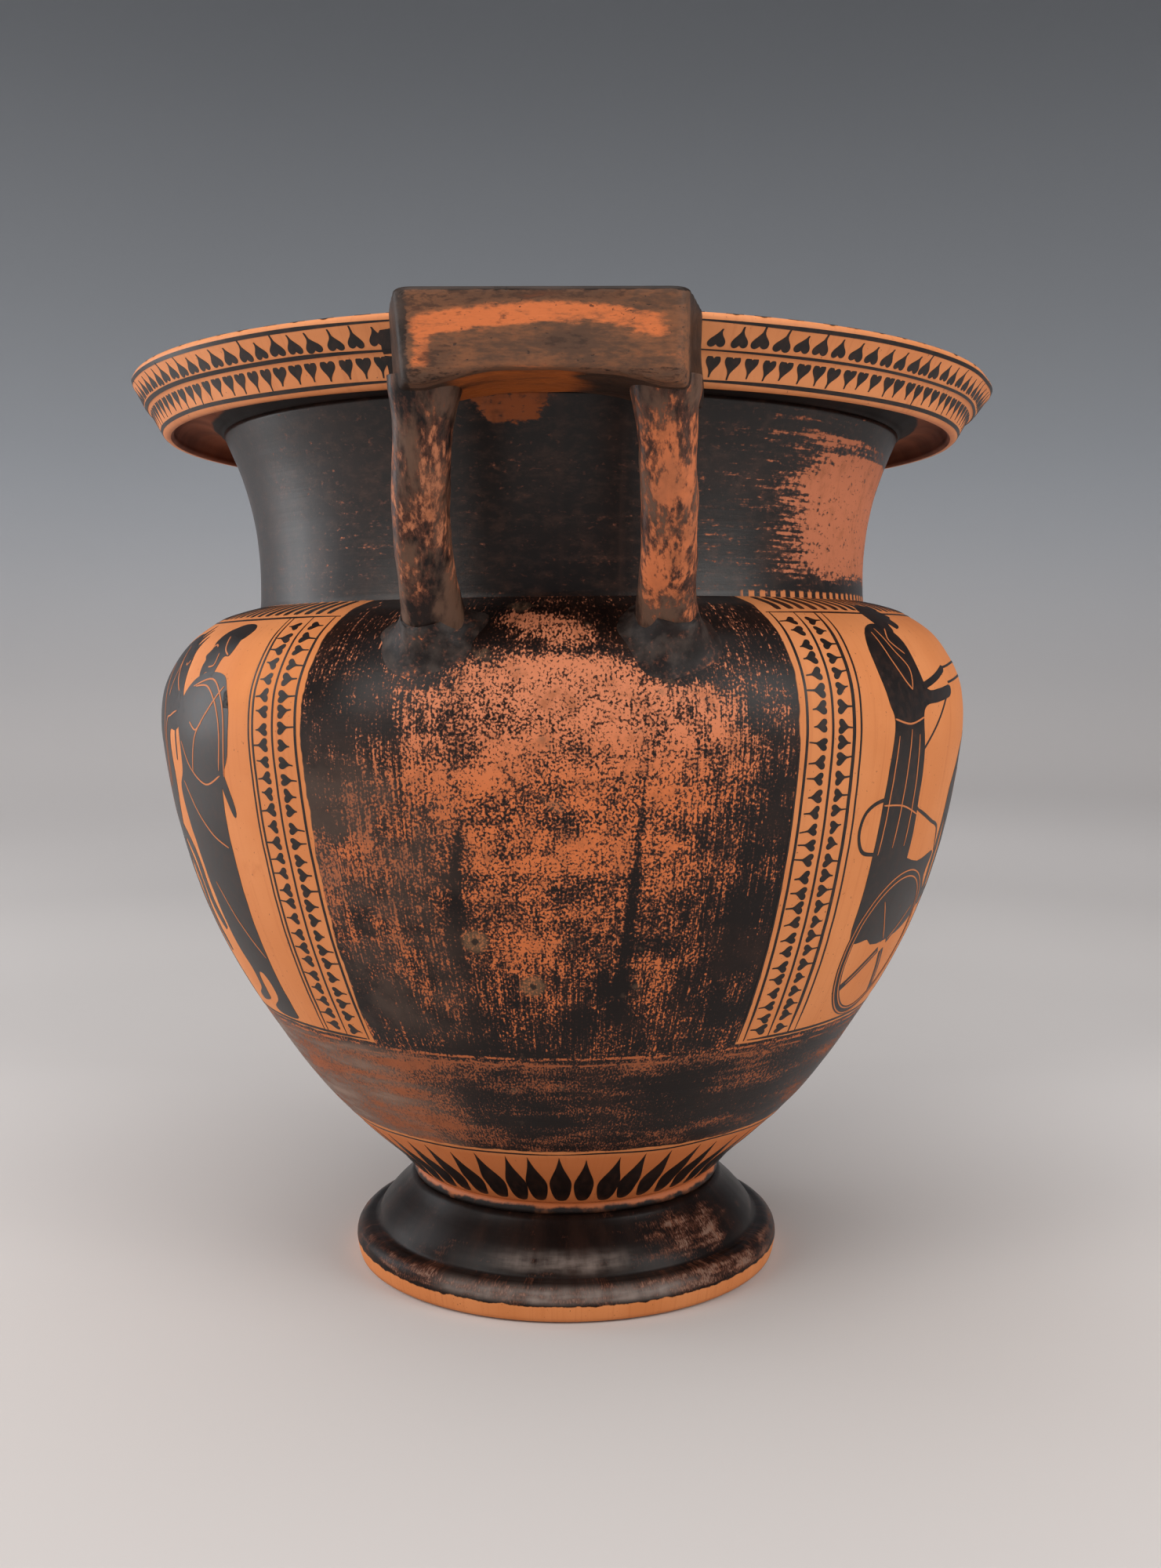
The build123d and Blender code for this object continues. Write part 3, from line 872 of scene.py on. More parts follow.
def column(end, side, sign, bow, seed):
    """A hand-rolled column: not quite round, not quite straight, wider at both ends."""
    path = smooth(COLUMN, 9)
    rows = len(path)
    verts = []
    for i, (sideways, outwards, height, wide, deep) in enumerate(path):
        ahead, behind = path[min(i + 1, rows - 1)], path[max(i - 1, 0)]
        along = Vector((0, behind[1] - ahead[1], ahead[2] - behind[2])).normalized()
        front = Vector((1, 0, 0)).cross(along)
        sag = math.sin(math.pi * ease(COLUMN_BASE_Z, COLUMN_TOP_Z, height))
        middle = Vector((sign * (sideways + bow * sag), -outwards, height))
        for k in range(COLUMN_SIDES):
            a = math.tau * k / COLUMN_SIDES
            across, out = math.cos(a), math.sin(a)
            square = (abs(across) ** BLUNTNESS + abs(out) ** BLUNTNESS) ** (-1 / BLUNTNESS)
            lump = noise.noise(Vector((across * 0.9, out * 0.9, height / 17 + seed))) * 1.1
            lump += noise.noise(Vector((across * 2.2, out * 2.2, height / 7 + seed))) * 0.35
            offset = Vector((across * (wide * square + lump), 0, 0))
            offset -= front * out * (deep * square + lump)
            verts.append(turned_to(end, *(middle + offset)))
    faces = []
    for i in range(rows - 1):
        faces += band(i * COLUMN_SIDES, (i + 1) * COLUMN_SIDES, COLUMN_SIDES)
    faces.append(tuple(reversed(range(COLUMN_SIDES))))
    faces.append(tuple(range((rows - 1) * COLUMN_SIDES, rows * COLUMN_SIDES)))
    made = piece(f"column_{end}_{side}", verts, faces, [column_paint])
    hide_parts(f"handle_column_{end}_{side}")


def root(end, side, sign, seed):
    """Clay smeared from a column's root out over the shoulder, thin at its edge."""
    base_turn = (0 if end == "front" else 180) + sign * ROOT_TURN
    degree = bowl_wall.across(ROOT_ARC)
    spots, spread = [], []
    for i in range(ROOT_RINGS + 1):
        t = i / ROOT_RINGS
        for k in range(ROOT_SIDES):
            a = math.tau * k / ROOT_SIDES
            way = Vector((math.cos(a) * 1.3, math.sin(a) * 1.3, seed))
            reach = ROOT_REACH + 5 * noise.noise(way) - 2 * math.sin(a)
            distance = ROOT_INNER + (reach - ROOT_INNER) * t
            lump = 0.7 * (1 - t) * noise.noise(way * 2.2 + Vector((0, 0, t * 4)))
            lift = ROOT_HEIGHT * (1 - t) ** 2.8 - 0.12 + lump
            turn = base_turn + distance * math.cos(a) / degree
            spots.append((turn, ROOT_ARC + distance * math.sin(a), lift))
            spread.append(t)
    verts = [bowl_wall.place(turn, arc, lift) for turn, arc, lift in spots]
    verts += [bowl_wall.place(turn, arc, -ROOT_DEPTH) for turn, arc, _ in spots]
    lower = len(spots)
    faces = []
    for i in range(ROOT_RINGS):
        for a, d, c, b in band(i * ROOT_SIDES, (i + 1) * ROOT_SIDES, ROOT_SIDES):
            faces.append((a, b, c, d))
            faces.append((lower + d, lower + c, lower + b, lower + a))
    outer = ROOT_RINGS * ROOT_SIDES
    faces += [(a, b, c, d) for a, d, c, b in band(outer, lower + outer, ROOT_SIDES)]
    faces.append(tuple(range(ROOT_SIDES)))
    faces.append(tuple(reversed(range(lower, lower + ROOT_SIDES))))
    made = piece(f"root_{end}_{side}", verts, faces, [root_paint], None, spread + spread)
    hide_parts(f"handle_root_{end}_{side}")


def plate(end):
    """The slab over the columns, its edges rubbed round and its faces a little uneven."""
    node = f"handle_plate_{end}"
    rough = add_object("rough_plate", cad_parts[node].data.copy())
    remesh = rough.modifiers.new("clay", "REMESH")
    remesh.mode = "VOXEL"
    remesh.voxel_size = PLATE_GRAIN * MM
    soften = rough.modifiers.new("rubbed", "SMOOTH")
    soften.factor, soften.iterations = PLATE_SOFTENING
    graph = bpy.context.evaluated_depsgraph_get()
    mesh = bpy.data.meshes.new_from_object(rough.evaluated_get(graph))
    bpy.data.objects.remove(rough)
    verts = []
    for vertex in mesh.vertices:
        place = vertex.co / MM
        radius = math.hypot(place.x, place.y)
        lump = noise.noise(place / 26) * 0.9 + noise.noise(place / 9) * 0.25
        lump = lump * (1 - ease(366, 369.5, place.z)) - 0.15 * ease(200, 205, radius)
        x, y, z = place + vertex.normal * lump
        into_rim = 1 - 2.2 * ease(184, 172, radius) / radius
        verts.append(by_hand(x * into_rim, y * into_rim, z))
    faces = [tuple(face.vertices) for face in mesh.polygons]
    made = piece(f"plate_{end}", verts, faces, [plate_paint])
    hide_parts(node)


plate_paint, column_paint, root_paint = plate_material(), column_material(), root_material()
for end, shift in (("front", 0), ("back", 9)):
    plate(end)
    column(end, "left", -1, 2.4, 1 + shift)
    column(end, "right", 1, 1, 4 + shift)
    root(end, "left", -1, 2 + shift)
    root(end, "right", 1, 6 + shift)


# ---- Painting

SKIN_TOP = 0.09  # height of painted slip above a wall
SKIN_BOTTOM = -0.05  # its closed skin reaches this far into the wall
LINE_STEP = 1.25  # degrees between the points of a brush line round the pot
LINE_ENDS = 12  # a brush line narrows over one part in so many of its length, at each end
POINT_GAP = 3.2  # greatest distance between points of an outline
GRID_MARGIN = 0.35  # share of the grid that stays clear inside an outline


class Painting:
    """Ornament laid on a wall: closed skins a few hundredths of a millimetre proud of it."""

    def __init__(self, top=SKIN_TOP, bottom=SKIN_BOTTOM):
        self.top, self.bottom = top, bottom
        self.verts, self.faces = [], []

    def skin(self, wall, spots, faces):
        """Closes a flat patch, given as (turn, arc) spots and faces, into a thin shell."""
        start, count = len(self.verts), len(spots)
        self.verts += [wall.place(turn, arc, self.top) for turn, arc in spots]
        self.verts += [wall.place(turn, arc, self.bottom) for turn, arc in spots]
        edges = set()
        for face in faces:
            self.faces.append(tuple(start + i for i in face))
            self.faces.append(tuple(start + count + i for i in reversed(face)))
            edges |= set(zip(face, face[1:] + face[:1]))
        for a, b in edges:
            if (b, a) not in edges:
                self.faces.append((start + a, start + count + a, start + count + b, start + b))

    def fill(self, wall, outline, grid=0):
        """A filled shape with an outline of (turn, arc) spots, and a grid inside if it is large."""
        scale = wall.across(sum(arc for _, arc in outline) / len(outline))
        flat = cut_short([Vector((turn * scale, arc)) for turn, arc in outline])
        if sum(a.x * b.y - b.x * a.y for a, b in zip(flat, flat[1:] + flat[:1])) < 0:
            flat.reverse()
        points = list(flat)
        if grid:
            points += inner_points(flat, grid)
        done = delaunay_2d_cdt(points, [], [list(range(len(flat)))], 1, 1e-4)
        self.skin(wall, [(v.x / scale, v.y) for v in done[0]], [tuple(f) for f in done[2]])

    def stroke(self, wall, spots, width, ends=0.35):
        """A brush line of a width in millimetres, narrower at its ends."""
        scale = wall.across(spots[0][1])
        run = cut_short([Vector((turn * scale, arc)) for turn, arc in spots], False)
        spots = [(spot.x / scale, spot.y) for spot in run]
        left, right = [], []
        for i, (turn, arc) in enumerate(spots):
            before, after = spots[max(i - 1, 0)], spots[min(i + 1, len(spots) - 1)]
            scale = wall.across(arc)
            dx, dy = (after[0] - before[0]) * scale, after[1] - before[1]
            size = math.hypot(dx, dy) or 1
            share = i / (len(spots) - 1)
            half = width / 2 * (ends + (1 - ends) * min(1, LINE_ENDS * share, LINE_ENDS * (1 - share)))
            left.append((turn - dy / size * half / scale, arc + dx / size * half))
            right.append((turn + dy / size * half / scale, arc - dx / size * half))
        count = len(spots)
        faces = [(count + i, count + i + 1, i + 1, i) for i in range(count - 1)]
        self.skin(wall, left + right, faces)

    def finish(self, name, material, slot):
        made = piece(name, self.verts, self.faces, [material])
        made.data.set_sharp_from_angle(angle=1)


def cut_short(points, closed=True):
    """The same line with points no more than the greatest distance apart."""
    fine = []
    for a, b in zip(points, points[1:] + points[:1]):
        if b is points[0] and not closed:
            break
        count = max(1, math.ceil((b - a).length / POINT_GAP))
        fine += [a.lerp(b, i / count) for i in range(count)]
    return fine if closed else fine + [points[-1]]


def inner_points(outline, grid):
    """Grid points inside an outline and clear of it, so that a large patch follows the wall."""
    xs, ys = [p.x for p in outline], [p.y for p in outline]
    found = []
    for i in range(1, int((max(xs) - min(xs)) / grid) + 1):
        for j in range(1, int((max(ys) - min(ys)) / grid) + 1):
            spot = Vector((min(xs) + i * grid, min(ys) + j * grid))
            crossings = 0
            near = math.inf
            for a, b in zip(outline, outline[1:] + outline[:1]):
                if (a.y > spot.y) != (b.y > spot.y):
                    crossings += spot.x < a.x + (spot.y - a.y) / (b.y - a.y) * (b.x - a.x)
                near = min(near, (a - spot).length)
            if crossings % 2 and near > grid * GRID_MARGIN:
                found.append(spot)
    return found


def mirrored(points):
    """A shape's right half and its reflection, from top to bottom and back."""
    return points + [(-x, y) for x, y in reversed(points) if x]


# Half outlines of unit height, with the tip up; a point given twice is a corner
HEART = mirrored([(0, 1), (0.055, 0.99), (0.085, 0.84), (0.23, 0.64), (0.43, 0.44), (0.54, 0.25),
                  (0.49, 0.05), (0.30, -0.03), (0.12, 0.02), (0, 0.12), (0, 0.12)])
RAY = mirrored([(0, 1), (0, 1), (0.06, 0.88), (0.18, 0.72), (0.34, 0.56), (0.47, 0.42),
                (0.5, 0.30), (0.44, 0.16), (0.30, 0.04), (0.16, 0), (0, -0.01)])
BUD = mirrored([(0, 1), (0, 1), (0.12, 0.86), (0.34, 0.62), (0.5, 0.36), (0.42, 0.12),
                (0.2, 0), (0, -0.03)])
TAIL_START = 0.85  # share of a shape's height above which a tail draws it out


def stamp(painting, wall, shape, turn, arc, wide, tall, facing=0, tail=0, lean=0, steps=3, grid=0):
    """Lays a unit shape with its foot at a place; facing turns its tip clockwise from up."""
    a = math.radians(facing)
    scale = wall.across(arc)
    spots = []
    for x, y in smooth(shape, steps, closed=True):
        x, y = x * wide + lean * y * y, y * tall + tail * max(0, y - TAIL_START) / (1 - TAIL_START)
        across, along = x * math.cos(a) + y * math.sin(a), y * math.cos(a) - x * math.sin(a)
        spots.append((turn + across / scale, arc + along))
    painting.fill(wall, spots, grid)


dice = random.Random(4)


def jitter(size):
    return dice.uniform(-size, size)


def line_round(painting, wall, arc, start, stop, width, wander=0.4, seed=0):
    """A brush line along the wall at one height, with a hand's wander."""
    count = max(4, round(abs(stop - start) / LINE_STEP))
    spots = []
    for i in range(count + 1):
        turn = start + (stop - start) * i / count
        a = math.radians(turn)
        shift = noise.noise(Vector((math.cos(a) * 3.2, math.sin(a) * 3.2, seed)))
        spots.append((turn, arc + wander * shift))
    painting.stroke(wall, spots, width)


def ring_round(painting, wall, arc, width, wander, seed):
    """Four brush lines that meet end to end all the way round."""
    for start in (0, 90, 180, 270):
        line_round(painting, wall, arc, start, start + 90, width, wander, seed)


# Heights on the rim: lines, and where hearts stand or hang from
RIM_HEIGHTS = {
    "low_line": 349.8, "low_heart": 357.3, "mid_line": 358.7, "high_heart": 359.9, "high_line": 366.9,
}
RIM_LINE_HALF = 74.2  # degrees from a side's middle to the end of the rim's lines
RIM_ROW_SPAN = 144.5  # degrees that a row of hearts takes up

# The rim's rows of hearts: (name, degrees apart, facing, height, width, (tail, its variation),
# lean on the right side, lean on the left side)
RIM_ROWS = [
    ("high_heart", 2.6, 0, 6.2, 5.8, (0.6, 1), 1.3, -1.5),
    ("low_heart", 2.34, 180, 6.6, 5, (0.3, 0.9), 0.8, 0.2),
]


def paint_rim():
    """Two rows of ivy hearts between three lines on each side of the rim's band."""
    hearts, lines = Painting(), Painting()
    arcs = {name: rim_wall.arc_at(z) for name, z in RIM_HEIGHTS.items()}
    for middle in SIDES:
        right = middle == SIDES[0]
        for name, width in (("low_line", 1.5), ("mid_line", 1.05 if right else 1.6), ("high_line", 1.4)):
            start, stop = middle - RIM_LINE_HALF, middle + RIM_LINE_HALF
            line_round(lines, rim_wall, arcs[name], start, stop, width, 0.35, arcs[name])
        for row, pitch, facing, height, width, (tail, spread), lean_right, lean_left in RIM_ROWS:
            count = int(RIM_ROW_SPAN / pitch)
            for i in range(count + 1):
                turn = middle + (i - count / 2) * pitch + jitter(0.12)
                tall = height + jitter(0.35)
                wide = width + jitter(0.5)
                drawn = max(0, tail + jitter(spread))
                arc = arcs[row] + jitter(0.25)
                turned_by = facing + jitter(5)
                lean = jitter(0.5) + (lean_right if right else lean_left)
                stamp(hearts, rim_wall, HEART, turn, arc, wide, tall, turned_by, drawn, lean)
    for handle in HANDLES:
        for turn, width in ((-17.1, 7.4), (15.8, 2.2)):
            edge = [(handle + turn + jitter(0.3), arcs["low_line"] + 0.4 + 4.4 * i) for i in range(5)]
            lines.stroke(rim_wall, smooth(edge, 4), width, 0.7)
    hearts.finish("rim_hearts", slip, "neck_slip")
    lines.finish("rim_lines", slip, "neck_slip")


BUDS = 72
SCALLOPS = 90


def paint_rim_top():
    """A chain of buds on the flat top of the rim, and scallops round its outer edge."""
    chain = Painting()
    pitch = 360 / BUDS
    for i in range(BUDS):
        turn = (i + 0.5) * pitch + jitter(0.2)
        tall = 15.5 + jitter(0.6)
        stamp(chain, rim_top_wall, BUD, turn, 8.5, 6.6, tall, jitter(3), 0, jitter(0.5), 2)
        arch = [(turn + k / 6 * pitch, 8.2 - 4.6 * math.sin(math.pi * k / 12)) for k in range(13)]
        chain.stroke(rim_top_wall, arch, 0.8, 0.8)
        stamp(chain, rim_top_wall, BUD, turn + pitch / 2, 10.5, 1.9, 2.2, 0, 0, 0, 2)
    edge = rim_wall.length
    for i in range(SCALLOPS):
        turn = 360 / SCALLOPS * i + 1.2 * noise.noise(Vector((i * 0.7, 0, 3)))
        dip = 1.7 + 0.8 * noise.noise(Vector((i * 0.9, 0, 8)))
        scallop = [(turn - 1.1, edge - 0.5), (turn - 0.2, edge - dip), (turn + 0.9, edge - 0.7)]
        chain.stroke(rim_wall, smooth(scallop, 4), 0.5)
    for arc in (2.4, 27.5):
        ring_round(chain, rim_top_wall, arc, 0.9, 0.4, arc)
    chain.finish("rim_top_buds", slip, "neck_slip")


RAYS = 52
RAY_HEIGHT = 37
RAY_WIDTH = 7.4
RAY_LINE = 43  # arc of the line over the rays


def paint_rays():
    """Rays that stand round the bowl's foot, under a line."""
    rays = Painting()
    for i in range(RAYS):
        turn = 0.2 + 360 * i / RAYS + jitter(0.35)
        tall = RAY_HEIGHT + jitter(1.8)
        arc = 2.4 + jitter(0.5)
        wide = RAY_WIDTH + jitter(0.5)
        stamp(rays, bowl_wall, RAY, turn, arc, wide, tall, jitter(0.6), 0, jitter(0.7), 3, 2.6)
    ring_round(rays, bowl_wall, RAY_LINE, 1, 1.4, 5)
    rays.finish("foot_rays", slip, "neck_slip")


TONGUES = 48  # over one panel
TONGUE_LINE_HALF = 59.2  # degrees from a side's middle to the end of the line under them


def paint_tongues():
    """A row of tongues on the shoulder over each panel, with a line under it."""
    tongues = Painting()
    high = bowl_wall.length - 0.7
    for middle in SIDES:
        for i in range(TONGUES):
            turn = middle + (i + 0.5 - TONGUES / 2) * TONGUE_PITCH
            low = PANEL_TOP + 2.2 + jitter(0.4)
            spots = [(turn + jitter(0.15), low), (turn + jitter(0.1), (low + high) / 2), (turn, high)]
            tongues.stroke(bowl_wall, smooth(spots, 5), 3 + jitter(0.4), 0.7)
        start, stop = middle - TONGUE_LINE_HALF, middle + TONGUE_LINE_HALF
        line_round(tongues, bowl_wall, PANEL_TOP, start, stop, 1.1, 0.8, 2)
    tongues.finish("shoulder_tongues", slip, "neck_slip")


# The borders on the right (1) and left (-1) of a handle: the turn of the black zone's edge, then
# lines as (millimetres in from it, width, top arc) and hearts as (millimetres in, way they point)
SHORT_TOP = 222  # one line on the right stops at this arc
BORDERS = {
    1: (29.8, [(0.7, 0.8, SHORT_TOP), (3.7, 1.1, PANEL_TOP), (15.2, 1.05, PANEL_TOP),
               (25.7, 1.6, PANEL_TOP), (29.4, 0.9, PANEL_TOP)], [(9.3, -1), (20.9, 1)]),
    -1: (30.2, [(3.5, 1.1, PANEL_TOP), (14.5, 0.9, PANEL_TOP), (25.1, 1, PANEL_TOP),
                (27.3, 0.8, PANEL_TOP)], [(8.9, -1), (20.3, 1)]),
}
BORDER_BASE = PANEL_BASE + 1
BORDER_HEARTS = 28
BORDER_FIRST = 107.6  # arc of the lowest hearts
BORDER_PITCH = 5.98


def border_spot(handle, sign, edge, inward, arc):
    """A place in a border, which sways a little on its way up."""
    sway = 0.5 * math.sin(arc / 31 + inward * 0.05 + handle)
    return handle + sign * (edge + (inward + sway) / bowl_wall.across(arc)), arc


def paint_borders():
    """Two columns of ivy hearts, back to back between lines, down each side of a panel."""
    hearts, lines = Painting(), Painting()
    for handle in HANDLES:
        for sign, (edge, line_plan, heart_plan) in BORDERS.items():
            for inward, width, top in line_plan:
                steps = round((top - PANEL_BASE) / 4)
                rises = [BORDER_BASE + (top - BORDER_BASE) * i / steps for i in range(steps + 1)]
                run = [border_spot(handle, sign, edge, inward, arc) for arc in rises]
                lines.stroke(bowl_wall, run, width)
            for inward, way in heart_plan:
                for i in range(BORDER_HEARTS):
                    arc = BORDER_FIRST + BORDER_PITCH * i + jitter(0.45)
                    wide, tall = 4.5 + jitter(0.5), 5.3 + jitter(0.5)
                    turn, arc = border_spot(handle, sign, edge, inward - way * tall * 0.55, arc)
                    facing = 90 * way * sign + jitter(7)
                    tail = max(0, 1.5 + jitter(1.6))
                    stamp(hearts, bowl_wall, HEART, turn, arc, wide, tall, facing, tail, jitter(0.4))
    hearts.finish("border_hearts", slip, "neck_slip")
    lines.finish("border_lines", slip, "neck_slip")


GROUND = PANEL_BASE + 2  # arc of the line that the figures stand on
DEGREE = 2.8  # millimetres of drawing to a degree of turn
FOLD = 0.65  # width of an incised line

# Figures in millimetres from a point on the ground line, looking right
ROBE = [
    (2, 144), (-8, 143), (-13, 139), (-17, 128), (-15, 112), (-9, 102), (-7, 86), (-6, 62), (-5, 36),
    (-4, 18), (-4, 6), (-2, 1), (14, 1), (17, 4), (8, 9), (6, 16), (9, 21), (14, 20), (17, 11), (19, 7),
    (30, 5), (31, 8), (22, 13), (20, 22), (24, 32), (26, 50), (28, 70), (31, 86), (32, 97), (26, 104),
    (24, 114), (24, 126), (20, 134), (14, 140), (8, 143),
]
CLOAK_END = [(-10, 106), (-15, 92), (-13, 89), (-8, 101)]
HEAD = [
    (0, 142), (-2, 150), (-6, 151), (-7, 158), (-5, 164), (2, 166), (10, 164), (13, 158), (12, 154),
    (14, 151), (12, 149), (12, 146), (10, 142), (6, 144),
]
CAP_PEAK = [(-7, 158), (-10, 163), (-6, 167), (4, 167), (12, 161), (0, 160)]
ROBE_FOLDS = [
    [(-12, 138), (-4, 130), (8, 118), (14, 104)],
    [(12, 138), (-2, 141), (-11, 134), (-14, 122), (-11, 104)],
    [(10, 138), (0, 138), (-8, 131), (-11, 120), (-8, 106)],
    [(-8, 104), (4, 100), (16, 106), (22, 116)],
    [(26, 100), (16, 88), (6, 80), (-4, 76)],
    [(18, 60), (8, 44), (-3, 30)],
    [(2, 124), (7, 121), (12, 124)],
    [(-5, 151), (0, 154), (4, 160)],
    [(8, 155), (10, 156), (12, 155)],
    [(3, 152), (2, 147), (6, 146)],
]
CLOAK_EDGE = [(24, 138), (29, 118), (31, 108)]

DRIVER = [
    (3, 163), (-6, 160), (-12, 152), (-13, 141), (-10, 130), (-7, 123), (-8, 108), (-9, 88), (-9, 62),
    (-8, 40), (4, 38), (14, 42), (18, 70), (17, 90), (16, 108), (13, 123), (16, 128), (27, 129),
    (42, 131), (43, 135), (30, 134), (18, 134), (15, 142), (15, 153), (11, 160),
]
DRIVER_HEAD = [
    (6, 160), (5, 168), (8, 175), (15, 178), (22, 176), (25, 171), (27, 168), (24, 166), (24, 162),
    (19, 160), (16, 163), (13, 158),
]
DRIVER_FOLDS = [
    [(-7, 124), (3, 122), (13, 124)],
    [(-4, 158), (-2, 146), (2, 138), (6, 134)],
    [(0, 160), (3, 150), (8, 142), (6, 134)],
    [(8, 160), (4, 154), (10, 148)],
    [(-4, 118), (-5, 96), (-6, 74)],
    [(4, 120), (4, 98), (3, 76)],
    [(10, 118), (12, 98), (12, 76)],
]
CAR = [(6, 70), (30, 68), (50, 70), (48, 60), (57, 50), (50, 42), (30, 36), (6, 38)]
HUB = (24, 33)
TYRE = 30.5
SPOKES = (35, 125, 215, 305)
CAR_STROKES = [  # (line, width, share of the width at the ends)
    ([(15, 135), (28, 138), (42, 142)], 2.7, 0.5),  # the driver's far arm
    ([(38, 132), (26, 122), (14, 112)], 1.1, 0.5),  # loose end of the reins
    ([(18, 90), (5, 94), (-9, 95), (-18, 91), (-20, 83), (-16, 76), (-6, 74), (8, 70)], 1.5, 0.5),  # rail
    ([(17, 90), (34, 84), (46, 80), (52, 70)], 1.4, 0.5),  # front of the rail
    ([(44, 42), (70, 54), (100, 74)], 3.2, 1),  # pole
    ([(42, 142), (84, 144), (130, 136)], 0.9, 1),  # reins
    ([(42, 136), (84, 138), (130, 130)], 0.9, 1),
]
RAIL_OVER_ROBE = [(17, 88), (5, 92), (-8, 93)]

HORSE = [
    (84, 132), (80, 141), (75, 152), (72, 158), (73, 165), (68, 160), (60, 159), (48, 151), (38, 139),
    (27, 123), (2, 115), (-20, 115), (-38, 112), (-50, 104), (-56, 88), (-52, 70), (-49, 50), (-46, 30),
    (-47, 8), (-48, 1), (-37, 1), (-39, 12), (-40, 36), (-37, 50), (-27, 66), (-8, 73), (15, 72),
    (31, 74), (36, 54), (36, 32), (35, 8), (34, 1), (45, 1), (43, 12), (43, 34), (46, 56), (51, 74),
    (59, 90), (63, 104), (63, 116), (66, 124), (73, 124), (80, 127),
]
ABREAST = ((0, 0), (5, -4), (-5, 3))  # where the horses of a team are
LEGS = [
    [(-40, 74), (-32, 50), (-35, 30), (-28, 3)],
    [(-34, 72), (-20, 52), (-24, 30), (-17, 3)],
    [(40, 76), (50, 52), (50, 28), (55, 3)],
    [(46, 80), (62, 62), (60, 42), (64, 26)],
    [(50, 84), (70, 70), (72, 50), (77, 38)],
]
TAIL = [(-52, 106), (-62, 92), (-64, 66), (-60, 46)]
COLLAR_STRAP = [(80, 128), (72, 126), (64, 122), (56, 96)]
HORSE_FOLDS = [
    [(26, 120), (38, 108), (42, 92), (36, 78)],
    [(-46, 102), (-38, 88), (-28, 74)],
    [(60, 156), (66, 146), (66, 134)],
    [(48, 148), (56, 140), (60, 128), (58, 112), (52, 96)],
    [(74, 148), (76, 147), (78, 149)],
    [(64, 150), (72, 142), (80, 136)],
    [(0, 110), (20, 100), (40, 98)],
]


class Figure:
    """Somebody or something drawn on the bowl at a turn; way is -1 when it looks left."""

    def __init__(self, black, clay, turn, way=1, shift=(0, 0), size=1):
        self.black, self.clay = black, clay
        self.turn, self.way, self.shift, self.size = turn, way, shift, size

    def spots(self, points):
        """Where points of the drawing lie on the bowl."""
        places = [(x * self.size + self.shift[0], y * self.size + self.shift[1]) for x, y in points]
        return [(self.turn + self.way * x / DEGREE, GROUND + y) for x, y in places]

    def draw(self, outline):
        self.black.fill(bowl_wall, self.spots(smooth(outline, 4, closed=True)), 3.4)

    def brush(self, points, width, ends=0.5):
        self.black.stroke(bowl_wall, self.spots(smooth(points, 6)), width, ends)

    def incise(self, points, width=FOLD, ends=0.5):
        self.clay.stroke(bowl_wall, self.spots(smooth(points, 6)), width, ends)


def circle(x, y, radius):
    turns = [math.tau * i / 40 for i in range(41)]
    return [(x + radius * math.cos(a), y + radius * math.sin(a)) for a in turns]


def robed_man(figure):
    for outline in (ROBE, HEAD, CAP_PEAK, CLOAK_END):
        figure.draw(outline)
    for fold in ROBE_FOLDS:
        figure.incise(fold)


def driver(figure):
    """A long-robed driver who stands in a two-wheeled car."""
    for outline in (DRIVER, DRIVER_HEAD, CAR):
        figure.draw(outline)
    for fold in DRIVER_FOLDS:
        figure.incise(fold)
    for line, width, ends in CAR_STROKES:
        figure.brush(line, width, ends)
    figure.incise(RAIL_OVER_ROBE, 0.6)
    figure.brush(circle(*HUB, TYRE), 4.2, 1)
    for radius in (TYRE - 1.2, TYRE + 1.3):
        figure.incise(circle(*HUB, radius), 0.55, 1)
    for spoke in SPOKES:
        x, y = math.cos(math.radians(spoke)), math.sin(math.radians(spoke))
        figure.brush([(HUB[0] + out * x, HUB[1] + out * y) for out in (3, 16, 29)], 3.4, 0.9)
        figure.incise([(HUB[0] + out * x, HUB[1] + out * y) for out in (4, 25)], 0.5)


def team(figure):
    """Horses abreast, each a little ahead of the next."""
    for shift in ABREAST:
        figure.shift = shift
        figure.draw(HORSE)
    figure.shift = (0, 0)
    for leg in LEGS:
        figure.brush(leg, 6.5)
    figure.brush(TAIL, 6, 0.4)
    for fold in HORSE_FOLDS:
        figure.incise(fold)
    figure.incise(COLLAR_STRAP, 0.6)


def paint_figures():
    """On each side a driver in a car behind a team of horses, met by a man in a cloak."""
    black, clay = Painting(), Painting(0.17, 0.02)
    for middle in SIDES:
        driver(Figure(black, clay, middle - 41))
        team(Figure(black, clay, middle + 2))
        robed_man(Figure(black, clay, middle - 4, 1, (0, 12), 0.97))
        onlooker = Figure(black, clay, middle + 40.2, -1)
        robed_man(onlooker)
        onlooker.brush(CLOAK_EDGE, 1.6)
        for start in (middle - 58, middle):
            line_round(black, bowl_wall, PANEL_BASE + 1.2, start, start + 58, 1.2, 0.5, 7)
    black.finish("figures", slip, "neck_slip")
    clay.finish("figure_lines", incised, "rim_clay")


slip, incised = slip_material(), incised_material()
paint_rim()
paint_rim_top()
paint_rays()
paint_tongues()
paint_borders()
paint_figures()


# ---- Camera, light and stage, in metres

CAMERA_TURN = math.radians(1.5)  # how far the camera is to the right of the handle's middle plane
CAMERA_DISTANCE = 0.678
CAMERA_HEIGHT = 0.2585
CAMERA_YAW = 0.0092  # how far it aims to the right of the pot's axis, in radians
CAMERA_PITCH = 0.0805  # how far it aims below level, in radians
CAMERA_LENS = 35.69
SENSOR_WIDTH = 36

